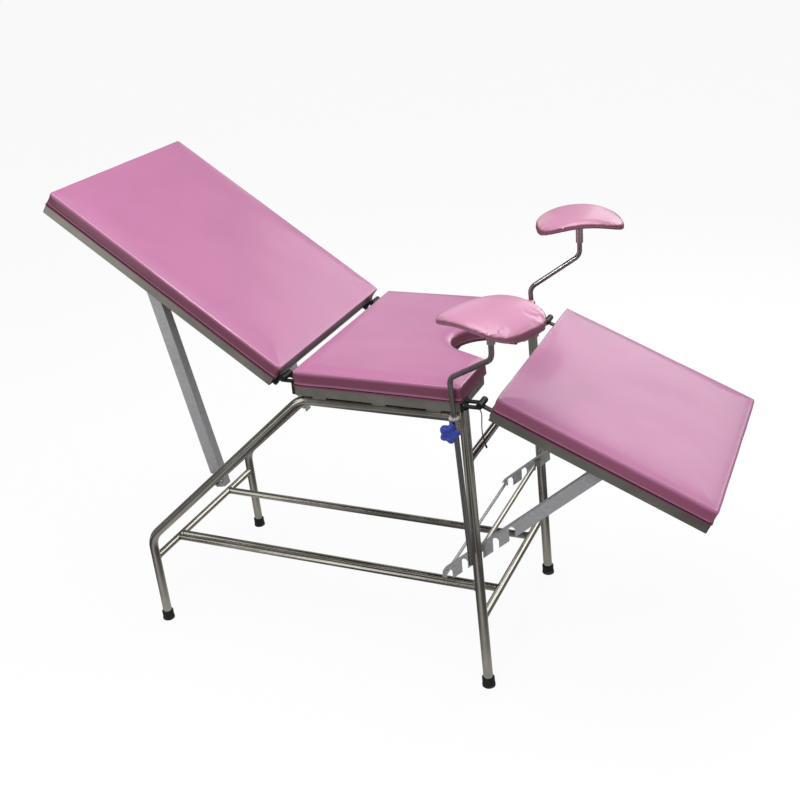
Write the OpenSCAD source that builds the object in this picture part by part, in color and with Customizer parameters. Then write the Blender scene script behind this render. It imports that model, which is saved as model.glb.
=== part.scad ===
/* [Overall] */
// Width of the three upholstered sections
table_w = 600; // [540:10:680]
// Height of the top of the flat seat above the floor
seat_h = 840; // [800:10:900]
// Distance from the side of the table in to the axis of each side frame
frame_inset = 30; // [25:1:45]

/* [Sections] */
// Length of the back section
back_l = 744; // [680:2:800]
// Length of the seat section
seat_l = 440; // [400:2:480]
// Length of the leg section
leg_l = 540; // [480:2:600]
// Angle of the back section above the horizontal
back_angle = 35; // [30:1:36]
// Angle of the leg section below the horizontal
leg_angle = 24; // [22:1:25]
// Gap between the flat back section and the seat
back_gap = 41; // [38:1:50]
// Gap between the flat leg section and the seat
leg_gap = 64; // [60:1:72]

/* [Cushions] */
// Height of the upholstered edge of a section
pad_t = 36; // [30:1:44]
// Rise of the middle of a cushion above its edge
pad_crown = 6; // [3:1:10]
// Corner radius of a section in plan
pad_corner_r = 10; // [6:1:20]
// Thickness of the board under a cushion
board_t = 3; // [3:1:6]
// How far the rails stand in from the edge of the cushion
rail_inset = 6; // [4:1:12]
// Half width of the seat opening at the front edge
cutout_half_w = 112; // [100:1:125]
// Radius of the round end of the seat opening
cutout_r = 84; // [76:1:90]
// Depth of the seat opening from the front edge
cutout_depth = 126; // [110:1:140]

/* [Tubes] */
// Diameter of the main frame tube
tube_d = 25; // [22:1:28]
// Diameter of the crossbars and stretchers
bar_d = 20; // [18:1:22]
// Diameter of the corner brace
brace_d = 16; // [14:1:18]
// Wall of every round tube
tube_wall = 1.5; // [1.2:0.1:2]
// Bend radius of the main frame tube
tube_bend_r = 70; // [55:5:90]
// Width of the section rails
rail_w = 20; // [18:1:24]
// Height of the section rails
rail_h = 25; // [22:1:28]
// Wall of the section rails
rail_wall = 1.5; // [1.2:0.1:2]

/* [Supports] */
// Diameter of the front catch rod
catch_rod_d = 13; // [12:1:14]
// Diameter of the rod that joins the tips of the notched bars
tip_rod_d = 8; // [6:1:10]
// Height of a notched bar
notch_bar_h = 30; // [28:1:34]
// Width of the top flange of a notched bar
notch_flange_w = 20; // [16:1:24]
// Thickness of the sheet of the supports
sheet_t = 2.5; // [2:0.5:3]
// Distance from one notch to the next
notch_pitch = 56; // [50:1:60]
// Number of notches in each bar
notch_count = 5; // [3:1:5]
// Width of the back strut across the table
strut_w = 28; // [24:1:30]
// Depth of the back strut behind the line of its pivot and catch
strut_back = 20; // [16:1:22]
// Depth of the back strut in front of that line
strut_front = 12; // [10.5:0.5:12]

/* [Leg crutches] */
// Diameter of a crutch rod
crutch_rod_d = 13; // [12:1:14]
// Bend radius of a crutch rod
crutch_bend_r = 26; // [22:1:32]
// Length of a crutch cushion
crutch_pad_l = 228; // [214:2:250]
// Width of a crutch cushion
crutch_pad_w = 194; // [176:2:206]
// Thickness of a crutch cushion
crutch_pad_t = 30; // [26:1:34]
// Height of the middle of a crutch cushion above its two ends
crutch_arch = 25; // [18:1:30]
// Outer diameter of the clamp sleeve
clamp_d = 25; // [24:1:28]
// Height of the clamp sleeve
clamp_h = 38; // [32:1:44]
// Diameter of the star knob
knob_d = 48; // [42:1:54]

/* [Hidden] */
$fn = 48;

// Overrun of every cut past the face that it opens
cut = 2;
// Radial clearance of every turning or sliding fit
fit_clear = 0.05;
// Swell of a bent rod at the two ends of each bend
joint_swell = 0.05;
// Side clearance of every turning fit
side_clear = 0.4;
half_w = table_w / 2;
frame_y = half_w - frame_inset;
quarter_turn = 90;
tube_r = tube_d / 2;
bar_r = bar_d / 2;
brace_r = brace_d / 2;
near = -1;
far = 1;

// Heights of the flat section stack
pad_bottom_z = seat_h - pad_t;
rail_top_z = pad_bottom_z - board_t;
rail_bottom_z = rail_top_z - rail_h;
rail_y = half_w - rail_inset;
rail_mid_y = rail_y - rail_w / 2;
rail_inner_y = rail_y - rail_w;

// Side frame
frame_drop = 10.5;
main_z = rail_bottom_z - frame_drop - tube_r;
rear_foot_x = -519;
rear_bend_x = -528;
rear_bend_z = 268;
main_bend_x = 4;
front_foot_reach = 16;
front_foot_x = seat_l + front_foot_reach;
front_leg_lean = 24;
leg_top_z = rail_bottom_z;
front_top_x = front_foot_x - front_leg_lean;
// How far a tube stops short of the axis of the tube that it joins, against that tube's radius
joint_share = 0.2;

// Rubber feet
foot_h = 26;
foot_wall = 3;
foot_base = 6;
foot_chamfer = 1.2;
foot_flange = 1.6;
foot_r = tube_r + foot_wall;
foot_base_r = foot_r + foot_flange;

// Heights of the lower bars and of the bars between the front legs
lower_z = 202;
front_cross_drop = 200;
front_cross_z = seat_h - front_cross_drop;
catch_drop = 457;
catch_z = seat_h - catch_drop;
rear_catch_x = -284;
rear_catch_drop = 9;
rear_catch_d = 16;
stretcher_inset = 137;
stretcher_y = frame_y - stretcher_inset;
brace_z = 290;
brace_out = 20;
brace_rear_y = stretcher_y + brace_out;

// Place of the front leg's axis at a height
function front_leg_x(z) = front_foot_x - front_leg_lean * z / leg_top_z;
// Place of the rear leg's axis at a height below its bend
function rear_leg_x(z) = rear_foot_x + (rear_bend_x - rear_foot_x) * z / rear_bend_z;
// Height of the diagonal's axis at a place along the table
function diagonal_z(x) =
    rear_bend_z + (main_z - rear_bend_z) * (x - rear_bend_x) / (main_bend_x - rear_bend_x);

// Hinges of the sections
hinge_barrel_r = 8;
hinge_pin_r = 4;
hinge_len = 42;
hinge_leaf_t = 4;
hinge_inset = 30;
hinge_y = half_w - hinge_inset;
back_pin_x = -28;
back_pin_drop = 26;
back_pin_z = seat_h - back_pin_drop;
leg_pin_reach = 38;
leg_pin_drop = 45;
leg_pin_x = seat_l + leg_pin_reach;
leg_pin_z = seat_h - leg_pin_drop;
hinge_start = -hinge_y - hinge_len / 2;
knuckle_l = hinge_len / 3;
outer_knuckles = [
    [hinge_start, knuckle_l - side_clear],
    [hinge_start + 2 * knuckle_l + side_clear, knuckle_l - side_clear]
];
mid_knuckles = [[hinge_start + knuckle_l, knuckle_l]];

// Ends of the flat back and leg sections
back_x0 = -back_gap - back_l;
back_x1 = -back_gap;
leg_x0 = seat_l + leg_gap;
leg_x1 = leg_x0 + leg_l;

// Where a point of the flat back section lies once the section is raised
function raised(x, z) = [
    back_pin_x + (x - back_pin_x) * cos(back_angle) + (z - back_pin_z) * sin(back_angle),
    back_pin_z - (x - back_pin_x) * sin(back_angle) + (z - back_pin_z) * cos(back_angle)
];
// Where a point of the flat leg section lies once the section is lowered
function lowered(x, z) = [
    leg_pin_x + (x - leg_pin_x) * cos(leg_angle) + (z - leg_pin_z) * sin(leg_angle),
    leg_pin_z - (x - leg_pin_x) * sin(leg_angle) + (z - leg_pin_z) * cos(leg_angle)
];

// Pins of the supports
prop_z = rail_bottom_z + rail_h / 2;
prop_pin_r = 5;
prop_collar_r = 8;
prop_head_t = 3;

// Notched bars, measured from their pivot on the leg section
bar_pivot_u = 287;
bar_inset = 28;
bar_y = rail_inner_y - bar_inset;
bar_pivot_x = leg_x0 + bar_pivot_u;
bar_pivot = lowered(bar_pivot_x, prop_z);
catch_x = front_leg_x(catch_z);
bar_dir = atan2(catch_z - bar_pivot[1], catch_x - bar_pivot[0]);
catch_dist = norm([catch_x - bar_pivot[0], catch_z - bar_pivot[1]]);
rest_notch = 2;
bar_tip = 28;
bar_tail_r = 11;
bar_top = 10;
bar_low = notch_bar_h - bar_top;
bar_len = catch_dist + rest_notch * notch_pitch + bar_tip;
tip_chamfer = 12;
notch_clear = 3;
notch_w = catch_rod_d + notch_clear;
seat_gap = 0.3;
notch_turn = atan2(-sin(bar_dir), -cos(bar_dir));
tip_rod_from_end = 15;
flange_start = 26;

// Back struts, measured from their pivot on the back section
strut_pivot_u = 430;
strut_inset = 20;
strut_y = rail_inner_y - strut_inset;
strut_pivot_x = back_x1 - strut_pivot_u;
strut_pivot = raised(strut_pivot_x, prop_z);
rear_catch_z = diagonal_z(rear_catch_x) - rear_catch_drop;
strut_dir = atan2(rear_catch_z - strut_pivot[1], rear_catch_x - strut_pivot[0]);
strut_reach = norm([rear_catch_x - strut_pivot[0], rear_catch_z - strut_pivot[1]]);
strut_tail_r = 11;
strut_tip = 24;
strut_slot_clear = 2.4;
strut_slot_w = rear_catch_d + strut_slot_clear;
strut_slot_turn = 158;
strut_chamfer = 6;
tie_d = 10;
tie_reach = 42;

// Crutches
crutch_out = 10;
crutch_y = half_w + crutch_out;
crutch_foot_set = 12;
crutch_foot_x = front_foot_x - crutch_foot_set;
crutch_foot_z = catch_z;
crutch_low_rise = 28;
crutch_low_z = seat_h + crutch_low_rise;
crutch_lean_share = 0.053;
crutch_lean = atan(crutch_lean_share);
crutch_forward = 97;
crutch_up_x = crutch_foot_x + crutch_forward;
crutch_spread = 56;
crutch_up_y = crutch_y + crutch_spread;
crutch_up_rise = 108;
crutch_up_z = seat_h + crutch_up_rise;
crutch_top_rise = 166;
crutch_top_z = seat_h + crutch_top_rise;
crutch_rod_r = crutch_rod_d / 2;
sleeve_r = 9.5;
sleeve_rise = 144;
sleeve_low_z = seat_h + sleeve_rise;
crutch_pad_rise = 201;
crutch_pad_z = seat_h + crutch_pad_rise;
disc_r = 26;
disc_t = 4;
disc_sink = 3;
pocket_clear = 0.5;
bush_wall = 2.4;
bush_r = crutch_rod_r + fit_clear + bush_wall;
bush_collar_t = 4;
clamp_drop = 92;
clamp_z = seat_h - clamp_drop;
clamp_r = clamp_d / 2;
clamp_block_l = 22;
clamp_block_h = 24;
boss_r = 8;
boss_l = 8;
screw_r = 4;
knob_gap = 0.6;
knob_neck_t = 5;
knob_t = 22;
knob_lobes = 5;
lobe_share = 0.3;
core_share = 0.68;
near_swivel = -24;
far_swivel = -24;

// Thin black lanyard that hangs from the near leg hinge: its route, from its fixed end down
lanyard_r = 1.3;
lanyard_sides = 8;
lanyard_y = -262;
lanyard_route = [
    [438, 779.5], [444, 779.5], [451, 780.5], [458, 780.5], [464, 778.5], [469, 774],
    [472, 767], [473, 759], [472.5, 750], [472, 741], [471.5, 732], [471.5, 723],
    [472, 714], [473, 706], [475, 698], [477, 691], [479, 684],
    [479.5, 682], [480.5, 678], [481, 676]
];
lanyard_knot_r = 2.6;
lanyard_knot_rings = 2;

// Where a crutch rod's axis lies at a height
function crutch_x(z) = crutch_foot_x - crutch_lean_share * (z - crutch_foot_z);

steel = [0.44, 0.45, 0.42];
sheet_steel = [0.6, 0.6, 0.61];
black = [0.05, 0.05, 0.05];
vinyl = [0.83, 0.56, 0.72];
crutch_vinyl = [0.9, 0.68, 0.8];
board_brown = [0.2, 0.12, 0.12];
knob_blue = [0.16, 0.25, 0.68];
bush_grey = [0.75, 0.75, 0.72];

// A unit vector along a vector
function unit(v) = v / norm(v);

// A vector turned about the Y axis
function turned_y(v, a) =
    [v[0] * cos(a) + v[2] * sin(a), v[1], v[2] * cos(a) - v[0] * sin(a)];

// A vector turned about the Z axis
function turned_z(v, a) =
    [v[0] * cos(a) - v[1] * sin(a), v[0] * sin(a) + v[1] * cos(a), v[2]];

// A point moved on past the end of a path
function beyond(from, to, more) = to + unit(to - from) * more;

// A straight round rod between two points
module rod_between(p, q, r) {
    d = q - p;
    translate(p)
        rotate([0, acos(d[2] / norm(d)), atan2(d[1], d[0])])
            cylinder(h = norm(d), r = r);
}

// A straight run of round rod along the Z axis, with what follows at its end
module run(l, r) {
    cylinder(h = l, r = r);
    translate([0, 0, l])
        children();
}

// A bend of round rod from the Z axis towards the X axis, with what follows at its end
module bend(turn, bend_r, r) {
    sphere(r = r + joint_swell);
    translate([bend_r, 0, 0])
        rotate([90, 0, 180])
            rotate_extrude(angle = turn)
                translate([bend_r, 0])
                    circle(r = r);
    translate([bend_r, 0, 0])
        rotate([0, turn, 0])
            translate([-bend_r, 0, 0]) {
                sphere(r = r + joint_swell);
                children();
            }
}

// A straight tube whose ends are shaped to the pieces that the children draw
module coped_tube(p, q, d, wall) {
    difference() {
        rod_between(p, q, d / 2);
        rod_between(beyond(q, p, cut), beyond(p, q, cut), d / 2 - wall);
        children();
    }
}

// The whole table moved so that the origin lies under its middle
module place() {
    translate([-mid_x, 0, 0])
        children();
}

// The flat back section turned up about its hinge
module raise_back() {
    translate([back_pin_x, 0, back_pin_z])
        rotate([0, back_angle, 0])
            translate([-back_pin_x, 0, -back_pin_z])
                children();
}

// The flat leg section turned down about its hinge
module lower_leg() {
    translate([leg_pin_x, 0, leg_pin_z])
        rotate([0, leg_angle, 0])
            translate([-leg_pin_x, 0, -leg_pin_z])
                children();
}

// A piece as drawn for the near side, or its mirror image for the far side
module on_side(side) {
    if (side == near)
        children();
    else
        mirror([0, 1, 0])
            children();
}

// Both the near piece and its mirror image
module both_sides() {
    children();
    mirror([0, 1, 0])
        children();
}

// A cylinder along the Y axis
module across(x, y0, y1, z, r) {
    translate([x, y0, z])
        rotate([-90, 0, 0])
            cylinder(h = y1 - y0, r = r);
}

// A block given by its lowest and highest corner
module block(p, q) {
    translate(p)
        cube(q - p);
}

// Angles from the vertical of the rear leg and of the diagonal
rear_lean = atan2(rear_bend_x - rear_foot_x, rear_bend_z);
diagonal_lean = atan2(main_bend_x - rear_bend_x, main_z - rear_bend_z);
rear_bend_reach = tube_bend_r * tan((diagonal_lean - rear_lean) / 2);
main_bend_reach = tube_bend_r * tan((quarter_turn - diagonal_lean) / 2);
rear_run = norm([rear_bend_x - rear_leg_x(foot_base), rear_bend_z - foot_base])
    - rear_bend_reach;
diagonal_run = norm([main_bend_x - rear_bend_x, main_z - rear_bend_z])
    - rear_bend_reach - main_bend_reach;
top_run = front_leg_x(main_z) - tube_r * joint_share - main_bend_x - main_bend_reach;
leg_foot = [front_leg_x(foot_base), -frame_y, foot_base];
leg_top = [front_leg_x(leg_top_z), -frame_y, leg_top_z];

// Outer solid of the near front leg
module front_leg_solid() {
    rod_between(leg_foot, beyond(leg_foot, leg_top, tube_r), tube_r);
}

// Round rod along the near rear leg, diagonal and top run, lengthened at both ends
module side_frame_path(r, more) {
    translate([rear_leg_x(foot_base), -frame_y, foot_base])
        rotate([0, rear_lean, 0])
            translate([0, 0, -more])
                run(rear_run + more, r)
                    bend(diagonal_lean - rear_lean, tube_bend_r, r)
                        run(diagonal_run, r)
                            bend(quarter_turn - diagonal_lean, tube_bend_r, r)
                                run(top_run + more, r);
}

// Outer solid of the near rear leg, diagonal and top run
module side_frame_solid() {
    side_frame_path(tube_r, 0);
}

// The bent tube that makes the rear leg, the diagonal and the top run of one side
module side_frame() {
    color(steel)
        difference() {
            side_frame_solid();
            side_frame_path(tube_r - tube_wall, cut);
            front_leg_solid();
        }
}

// The straight front leg of one side
module front_leg() {
    color(steel)
        difference() {
            front_leg_solid();
            rod_between(beyond(leg_top, leg_foot, cut), beyond(leg_foot, leg_top, tube_d),
                tube_r - tube_wall);
            block([front_top_x - tube_d, -frame_y - tube_d, leg_top_z],
                [front_top_x + tube_d, -frame_y + tube_d, leg_top_z + tube_d]);
        }
}

front_lean = -atan2(front_leg_lean, leg_top_z);

// Rubber cap of one leg
module foot(x, lean) {
    difference() {
        union() {
            translate([x, -frame_y, 0])
                cylinder(h = foot_chamfer, r1 = foot_base_r - foot_chamfer, r2 = foot_base_r);
            translate([x, -frame_y, foot_chamfer])
                cylinder(h = foot_base - foot_chamfer, r = foot_base_r);
            translate([x, -frame_y, foot_base])
                rotate([0, lean, 0])
                    translate([0, 0, -foot_base / 2])
                        cylinder(h = foot_h - foot_base / 2, r = foot_r);
        }
        translate([x, -frame_y, foot_base])
            rotate([0, lean, 0])
                cylinder(h = foot_h, r = tube_r);
    }
}

module feet() {
    color(black)
        both_sides() {
            foot(rear_leg_x(foot_base), rear_lean);
            foot(front_leg_x(foot_base), front_lean);
        }
}

// A tube across the table between the two side frames
module cross_tube(x, z, d) {
    color(steel)
        coped_tube([x, -frame_y, z], [x, frame_y, z], d, tube_wall)
            children();
}

module rear_crossbar() {
    cross_tube(rear_leg_x(lower_z), lower_z, bar_d)
        both_sides()
            side_frame_solid();
}

module front_crossbar() {
    cross_tube(front_leg_x(lower_z), lower_z, bar_d)
        both_sides()
            front_leg_solid();
}

module front_cross_tube() {
    cross_tube(front_leg_x(front_cross_z), front_cross_z, bar_d)
        both_sides()
            front_leg_solid();
}

module front_catch_rod() {
    color(steel)
        difference() {
            across(catch_x, -frame_y, frame_y, catch_z, catch_rod_d / 2);
            both_sides()
                front_leg_solid();
        }
}

module rear_catch_tube() {
    cross_tube(rear_catch_x, rear_catch_z, rear_catch_d)
        both_sides()
            side_frame_solid();
}

// The lengthwise tubes between the two lower crossbars
module stretchers() {
    x0 = rear_leg_x(lower_z);
    x1 = front_leg_x(lower_z);
    inset = bar_r * joint_share;
    color(steel)
        both_sides()
            coped_tube([x0 + inset, -stretcher_y, lower_z], [x1 - inset, -stretcher_y, lower_z],
                bar_d, tube_wall) {
                across(x0, -frame_y, frame_y, lower_z, bar_r);
                across(x1, -frame_y, frame_y, lower_z, bar_r);
            }
}

// The slanted tube from the rear crossbar to the near front leg
module corner_brace() {
    x0 = rear_leg_x(lower_z);
    color(steel)
        coped_tube([x0, -brace_rear_y, lower_z], [front_leg_x(brace_z), -frame_y, brace_z],
            brace_d, tube_wall) {
            across(x0, -frame_y, frame_y, lower_z, bar_r);
            front_leg_solid();
        }
}

// A rectangular tube along the table
module rail_along(x0, x1, y) {
    difference() {
        block([x0, y - rail_w / 2, rail_bottom_z], [x1, y + rail_w / 2, rail_top_z]);
        block([x0 - cut, y - rail_w / 2 + rail_wall, rail_bottom_z + rail_wall],
            [x1 + cut, y + rail_w / 2 - rail_wall, rail_top_z - rail_wall]);
    }
}

// A rectangular tube across the table
module rail_across(x, y0, y1) {
    difference() {
        block([x - rail_w / 2, y0, rail_bottom_z], [x + rail_w / 2, y1, rail_top_z]);
        block([x - rail_w / 2 + rail_wall, y0 - cut, rail_bottom_z + rail_wall],
            [x + rail_w / 2 - rail_wall, y1 + cut, rail_top_z - rail_wall]);
    }
}

module seat_rail() {
    color(steel)
        rail_along(rail_inset, seat_l - rail_inset, -rail_mid_y);
}

module seat_rear_rail() {
    color(steel)
        rail_across(rail_inset + rail_w / 2, -rail_inner_y, rail_inner_y);
}

// The rail behind the opening
mid_rail_gap = 18;
seat_mid_x = seat_l - cutout_depth - mid_rail_gap - rail_w / 2;
module seat_mid_rail() {
    color(steel)
        rail_across(seat_mid_x, -rail_inner_y, rail_inner_y);
}

// Short rails that carry the two fingers of the seat
finger_gap = 16;
module seat_front_rails() {
    color(steel)
        both_sides()
            rail_across(seat_l - rail_inset - rail_w / 2, -rail_inner_y,
                -cutout_half_w - finger_gap);
}

// Plates that carry the seat rails on the side frames
tab_t = 4;
tab_l = 36;
tab_shares = [0.14, 0.5, 0.82];
tab_y = rail_inner_y + tab_t / 2;
module frame_tabs() {
    color(steel)
        both_sides()
            for (share = tab_shares)
                difference() {
                    block([seat_l * share - tab_l / 2, -tab_y - tab_t / 2, main_z],
                        [seat_l * share + tab_l / 2, -tab_y + tab_t / 2, rail_bottom_z]);
                    side_frame_solid();
                }
}

// Outlines of the cushions
corner_steps = 4;
edge_steps = 6;
cutout_steps = 12;
cutout_open_deg = 115;
least_corner_share = 0.15;

// A quarter of a circle as points
function corner_arc(cx, cy, r, a0) =
    [for (i = [0 : corner_steps])
        [cx + r * cos(a0 + 90 * i / corner_steps), cy + r * sin(a0 + 90 * i / corner_steps)]];

// Points between two points, without its ends
function between(p, q, steps) = [for (i = [1 : steps - 1]) p + (q - p) * i / steps];

// A rectangle with round corners, drawn in all round by an amount
function round_rect(x0, x1, inset) =
    let (
        q = max(pad_corner_r - inset, pad_corner_r * least_corner_share),
        ax = x0 + inset + q,
        bx = x1 - inset - q,
        by = half_w - inset - q,
        c0 = corner_arc(bx, by, q, 0),
        c1 = corner_arc(ax, by, q, 90),
        c2 = corner_arc(ax, -by, q, 180),
        c3 = corner_arc(bx, -by, q, 270)
    )
    concat(
        c0, between(c0[corner_steps], c1[0], edge_steps),
        c1, between(c1[corner_steps], c2[0], edge_steps),
        c2, between(c2[corner_steps], c3[0], edge_steps),
        c3, between(c3[corner_steps], c0[0], edge_steps)
    );

// The seat's outline with its opening in the front edge, drawn in by an amount
function seat_outline(inset) =
    let (
        q = max(pad_corner_r - inset, pad_corner_r * least_corner_share),
        x1 = seat_l - inset,
        y1 = half_w - inset,
        finger_y = cutout_half_w + inset,
        arc_r = cutout_r + inset,
        arc_x = seat_l - cutout_depth + cutout_r,
        sweep = 360 - 2 * cutout_open_deg,
        c0 = corner_arc(x1 - q, y1 - q, q, 0),
        c1 = corner_arc(inset + q, y1 - q, q, 90),
        c2 = corner_arc(inset + q, q - y1, q, 180),
        c3 = corner_arc(x1 - q, q - y1, q, 270),
        f0 = corner_arc(x1 - q, -finger_y - q, q, 0),
        f1 = corner_arc(x1 - q, finger_y + q, q, 270),
        opening = [
            for (i = [0 : cutout_steps])
                let (a = -cutout_open_deg - sweep * i / cutout_steps)
                [arc_x + arc_r * cos(a), arc_r * sin(a)]
        ]
    )
    concat(
        c0, between(c0[corner_steps], c1[0], edge_steps),
        c1, between(c1[corner_steps], c2[0], edge_steps),
        c2, between(c2[corner_steps], c3[0], edge_steps),
        c3, f0, between(f0[corner_steps], opening[0], edge_steps / 2),
        opening, between(opening[cutout_steps], f1[0], edge_steps / 2), f1
    );

// Rows of a cushion: share of its height, and inset as a share of the corner radius
pad_rows = [
    [0, 0.18], [0.08, 0.06], [0.3, 0.02], [0.55, 0], [0.78, 0.02], [0.92, 0.12], [1, 0.34]
];
top_row_share = 0.34;
// Rows of the crown: share of its rise, and inset as a share of its reach
crown_rows = [[0.3, 0.09], [0.58, 0.22], [0.84, 0.48], [1, 0.8]];
crown_reach = 90;
seat_crown_reach = 45;

// Ends of the table: the head end of the raised back and the foot end of the lowered leg section
head_xs = [
    for (row = pad_rows)
        raised(back_x0 + row[1] * pad_corner_r, pad_bottom_z + pad_t * row[0])[0]
];
foot_xs = [
    for (row = pad_rows)
        lowered(leg_x1 - row[1] * pad_corner_r, pad_bottom_z + pad_t * row[0])[0]
];
head_end_x = min(min(head_xs), raised(back_x0 + rail_inset, rail_bottom_z)[0]);
// Middle of the whole table along its length, so that the origin lies under it
mid_x = (head_end_x + max(foot_xs)) / 2;

// A closed solid through rings of points that all have the same count, with its two end points
module ring_solid(rings, low, high) {
    n = len(rings[0]);
    m = len(rings);
    polyhedron(
        points = concat([for (ring = rings) for (p = ring) p], [low, high]),
        faces = concat(
            [for (i = [0 : n - 1]) [i, (i + 1) % n, m * n]],
            [for (j = [0 : m - 2]) for (i = [0 : n - 1])
                [j * n + i, (j + 1) * n + i, (j + 1) * n + (i + 1) % n]],
            [for (j = [0 : m - 2]) for (i = [0 : n - 1])
                [j * n + i, (j + 1) * n + (i + 1) % n, j * n + (i + 1) % n]],
            [for (i = [0 : n - 1]) [(m - 1) * n + (i + 1) % n, (m - 1) * n + i, m * n + 1]]
        )
    );
}

function at_height(ring, z) = [for (p = ring) [p[0], p[1], z]];

// A rectangular cushion with drawn-in sides and a crown
module box_cushion(x0, x1) {
    ring_solid(
        concat(
            [for (row = pad_rows)
                at_height(round_rect(x0, x1, row[1] * pad_corner_r),
                    pad_bottom_z + pad_t * row[0])],
            [for (row = crown_rows)
                at_height(
                    round_rect(x0, x1, row[1] * crown_reach + pad_corner_r * top_row_share),
                    seat_h + pad_crown * row[0])]
        ),
        [(x0 + x1) / 2, 0, pad_bottom_z], [(x0 + x1) / 2, 0, seat_h + pad_crown]);
}

// Place from which the whole outline of the seat is in sight
seat_centre_share = 0.35;

// The seat cushion, open at the front edge
module seat_pad() {
    color(vinyl)
        ring_solid(
            concat(
                [for (row = pad_rows)
                    at_height(seat_outline(row[1] * pad_corner_r),
                        pad_bottom_z + pad_t * row[0])],
                [for (row = crown_rows)
                    at_height(
                        seat_outline(row[1] * seat_crown_reach + pad_corner_r * top_row_share),
                        seat_h + pad_crown * row[0])]
            ),
            [seat_l * seat_centre_share, 0, pad_bottom_z],
            [seat_l * seat_centre_share, 0, seat_h + pad_crown]);
}

// A board cut to a cushion's outline and set in from its edge
module board(outline) {
    color(board_brown)
        translate([0, 0, rail_top_z])
            linear_extrude(board_t)
                polygon(outline);
}

module seat_board() {
    board(seat_outline(rail_inset / 2));
}

module back_board() {
    raise_back()
        board(round_rect(back_x0, back_x1, rail_inset / 2));
}

module leg_board() {
    lower_leg()
        board(round_rect(leg_x0, leg_x1, rail_inset / 2));
}

module back_pad() {
    color(vinyl)
        raise_back()
            box_cushion(back_x0, back_x1);
}

module leg_pad() {
    color(vinyl)
        lower_leg()
            box_cushion(leg_x0, leg_x1);
}

// Hole for a support's pin through the inner wall of a side rail
module prop_bore(x) {
    across(x, -rail_mid_y, -rail_inner_y + cut, prop_z, prop_pin_r);
}

module back_rail() {
    color(steel)
        raise_back()
            difference() {
                rail_along(back_x0 + rail_inset, back_x1 - rail_inset, -rail_mid_y);
                prop_bore(strut_pivot_x);
            }
}

module leg_rail() {
    color(steel)
        lower_leg()
            difference() {
                rail_along(leg_x0 + rail_inset, leg_x1 - rail_inset, -rail_mid_y);
                prop_bore(bar_pivot_x);
            }
}

module back_cross_rail(x) {
    color(steel)
        raise_back()
            rail_across(x, -rail_inner_y, rail_inner_y);
}

module leg_cross_rail(x) {
    color(steel)
        lower_leg()
            rail_across(x, -rail_inner_y, rail_inner_y);
}

back_mid_share = 0.36;
leg_mid_share = 0.7;
module back_head_rail() {
    back_cross_rail(back_x0 + rail_inset + rail_w / 2);
}

module back_hinge_rail() {
    back_cross_rail(back_x1 - rail_inset - rail_w / 2);
}

module back_mid_rail() {
    back_cross_rail(back_x0 + back_l * back_mid_share);
}

module leg_hinge_rail() {
    leg_cross_rail(leg_x0 + rail_inset + rail_w / 2);
}

module leg_foot_rail() {
    leg_cross_rail(leg_x1 - rail_inset - rail_w / 2);
}

module leg_mid_rail() {
    leg_cross_rail(leg_x0 + leg_l * leg_mid_share);
}

// Headed pin with a collar, on which a support's sheet turns
module prop_pin(x, y_outer, y_inner) {
    across(x, -rail_mid_y, -y_inner + side_clear + prop_head_t, prop_z, prop_pin_r);
    across(x, -rail_inner_y, -y_outer - side_clear, prop_z, prop_collar_r);
    across(x, -y_inner + side_clear, -y_inner + side_clear + prop_head_t, prop_z,
        prop_collar_r);
}

module strut_pins() {
    color(steel)
        raise_back()
            both_sides()
                prop_pin(strut_pivot_x, strut_y, strut_y - sheet_t);
}

module notched_bar_pins() {
    color(steel)
        lower_leg()
            both_sides()
                prop_pin(bar_pivot_x, bar_y + sheet_t, bar_y);
}

// Barrels of one half of a hinge
module knuckles(pin_x, pin_z, places) {
    for (place = places)
        difference() {
            across(pin_x, place[0], place[0] + place[1], pin_z, hinge_barrel_r);
            across(pin_x, place[0] - cut, place[0] + place[1] + cut, pin_z,
                hinge_pin_r + fit_clear);
        }
}

// Flat arms that run from the barrels to one side, clear of the pin
module hinge_arms(pin_x, pin_z, places, x0, x1) {
    for (place = places)
        difference() {
            block([x0, place[0], pin_z - hinge_barrel_r],
                [x1, place[0] + place[1], pin_z - hinge_barrel_r + hinge_leaf_t]);
            across(pin_x, place[0] - cut, place[0] + place[1] + cut, pin_z,
                hinge_pin_r + fit_clear);
        }
}

// Fixed pins of the four hinges
module hinge_pins() {
    color(black)
        both_sides() {
            across(back_pin_x, hinge_start - cut, hinge_start + hinge_len + cut, back_pin_z,
                hinge_pin_r);
            across(leg_pin_x, hinge_start - cut, hinge_start + hinge_len + cut, leg_pin_z,
                hinge_pin_r);
        }
}

module back_hinge_seat_leaves() {
    color(black)
        both_sides() {
            knuckles(back_pin_x, back_pin_z, outer_knuckles);
            hinge_arms(back_pin_x, back_pin_z, outer_knuckles, back_pin_x, 0);
            block([-hinge_leaf_t, hinge_start, rail_bottom_z],
                [0, hinge_start + hinge_len, back_pin_z - hinge_barrel_r + hinge_leaf_t]);
            block([-hinge_leaf_t, hinge_start, rail_bottom_z],
                [rail_inset, hinge_start + hinge_len, rail_top_z]);
        }
}

back_leaf_x = back_x1 + side_clear;
module back_hinge_leaves() {
    color(black)
        raise_back()
            both_sides() {
                knuckles(back_pin_x, back_pin_z, mid_knuckles);
                hinge_arms(back_pin_x, back_pin_z, mid_knuckles, back_leaf_x, back_pin_x);
                for (place = mid_knuckles) {
                    block([back_leaf_x, place[0], rail_bottom_z],
                        [back_leaf_x + hinge_leaf_t, place[0] + place[1],
                            back_pin_z - hinge_barrel_r + hinge_leaf_t]);
                    block([back_x1 - rail_inset, place[0], rail_bottom_z],
                        [back_leaf_x + hinge_leaf_t, place[0] + place[1], rail_top_z]);
                }
            }
}

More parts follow.
